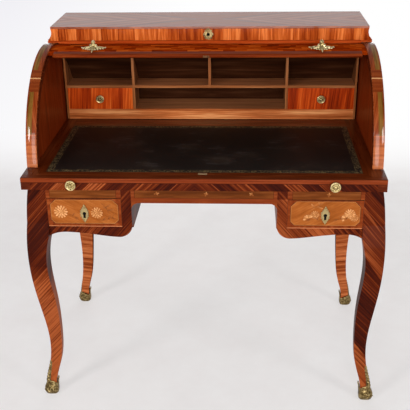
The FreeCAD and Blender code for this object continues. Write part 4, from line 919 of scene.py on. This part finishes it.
away = add(tree, "MapRange", {
    "Value": distance, "From Min": 1.3, "From Max": 3.2}, interpolation_type="SMOOTHSTEP")[0]
PAPER_HALF, LEAST_GLOW = 14.0, 0.45
far = calc(tree, "MAXIMUM", calc(tree, "MAXIMUM", behind, away), LEAST_GLOW)
shadow = add(tree, "MapRange", {"Value": x, "From Min": -2.6, "From Max": -0.4})[0]
glow = add(tree, "Emission", {"Strength": 1.0, "Color": layered(
    tree, shadow, (0.880, 0.870, 0.910), (1.0, 1.0, 1.0))})[0]
blend = add(tree, "MixShader", {0: calc(tree, "MULTIPLY", seen, far), 1: shader.outputs[0], 2: glow})[0]
tree.links.new(blend, tree.nodes["Material Output"].inputs[0])
sweep = bpy.data.meshes.new("paper_floor")
shape = bmesh.new()
bmesh.ops.create_grid(shape, x_segments=1, y_segments=1, size=PAPER_HALF)
shape.to_mesh(sweep)
shape.free()
floor = bpy.data.objects.new("paper_floor", sweep)
floor.data.materials.append(paper)
bpy.context.scene.collection.objects.link(floor)

world = bpy.data.worlds.new("studio_air")
bpy.context.scene.world = world
world.use_nodes = True
tree = world.node_tree
sky = tree.nodes["Background"]
rays = add(tree, "LightPath")
mirrored = calc(tree, "MAXIMUM", rays["Is Glossy Ray"], rays["Is Transmission Ray"])
towards = parts_of(tree, add(tree, "TexCoord")[0])[1]
reflected = add(tree, "MapRange", {
    "Value": towards, "From Min": -0.25, "From Max": 0.35, "To Min": 0.3, "To Max": 1.0})[0]
strength = chosen(tree, rays["Is Camera Ray"], chosen(tree, mirrored, 0.30, reflected), 1.0)
tree.links.new(strength, sky.inputs["Strength"])
sky.inputs["Color"].default_value = (1.0, 1.0, 1.0, 1.0)


def soft_box(name, place, aim, size, power, high=1.0):
    """A studio lamp turned towards a point, square or with its height as a share of its width."""
    lamp = bpy.data.lights.new(name, "AREA")
    lamp.shape = "RECTANGLE"
    lamp.size = size
    lamp.size_y = size * high
    lamp.energy = power
    made = bpy.data.objects.new(name, lamp)
    made.matrix_world = Matrix.Translation(place) @ (
        Vector(aim) - Vector(place)).to_track_quat("-Z", "Y").to_matrix().to_4x4()
    bpy.context.scene.collection.objects.link(made)


soft_box("left_box", (-2.2, -2.4, 1.9), (0.0, 0.0, 0.5), 0.7, 34.0)
soft_box("right_box", (2.4, -2.0, 1.7), (0.0, 0.0, 0.5), 0.7, 20.0)
soft_box("front_box", (0.1, -3.4, 1.25), (0.0, 0.0, 0.7), 2.2, 60.0)
soft_box("rear_box", (0.0, 3.4, 0.75), (0.0, 0.0, 0.0), 3.2, 60.0, 0.3)

lens = bpy.data.cameras.new("photo_lens")
lens.sensor_width = 36.0
lens.lens = 69.03
yaw, pitch, roll = -0.05532, 0.42568, -0.01506
ahead = Vector((math.sin(yaw) * math.cos(pitch), math.cos(yaw) * math.cos(pitch), -math.sin(pitch)))
right = Vector((math.cos(yaw), -math.sin(yaw), 0.0))
up = right.cross(ahead)
across = right * math.cos(roll) + up * math.sin(roll)
above = up * math.cos(roll) - right * math.sin(roll)
camera = bpy.data.objects.new("photo_camera", lens)
turned = Matrix((across, above, -ahead)).transposed().to_4x4()
camera.matrix_world = Matrix.Translation((0.11206, -2.23334, 1.55161)) @ turned
bpy.context.scene.collection.objects.link(camera)
bpy.context.scene.camera = camera
bpy.context.scene.view_settings.view_transform = "Standard"
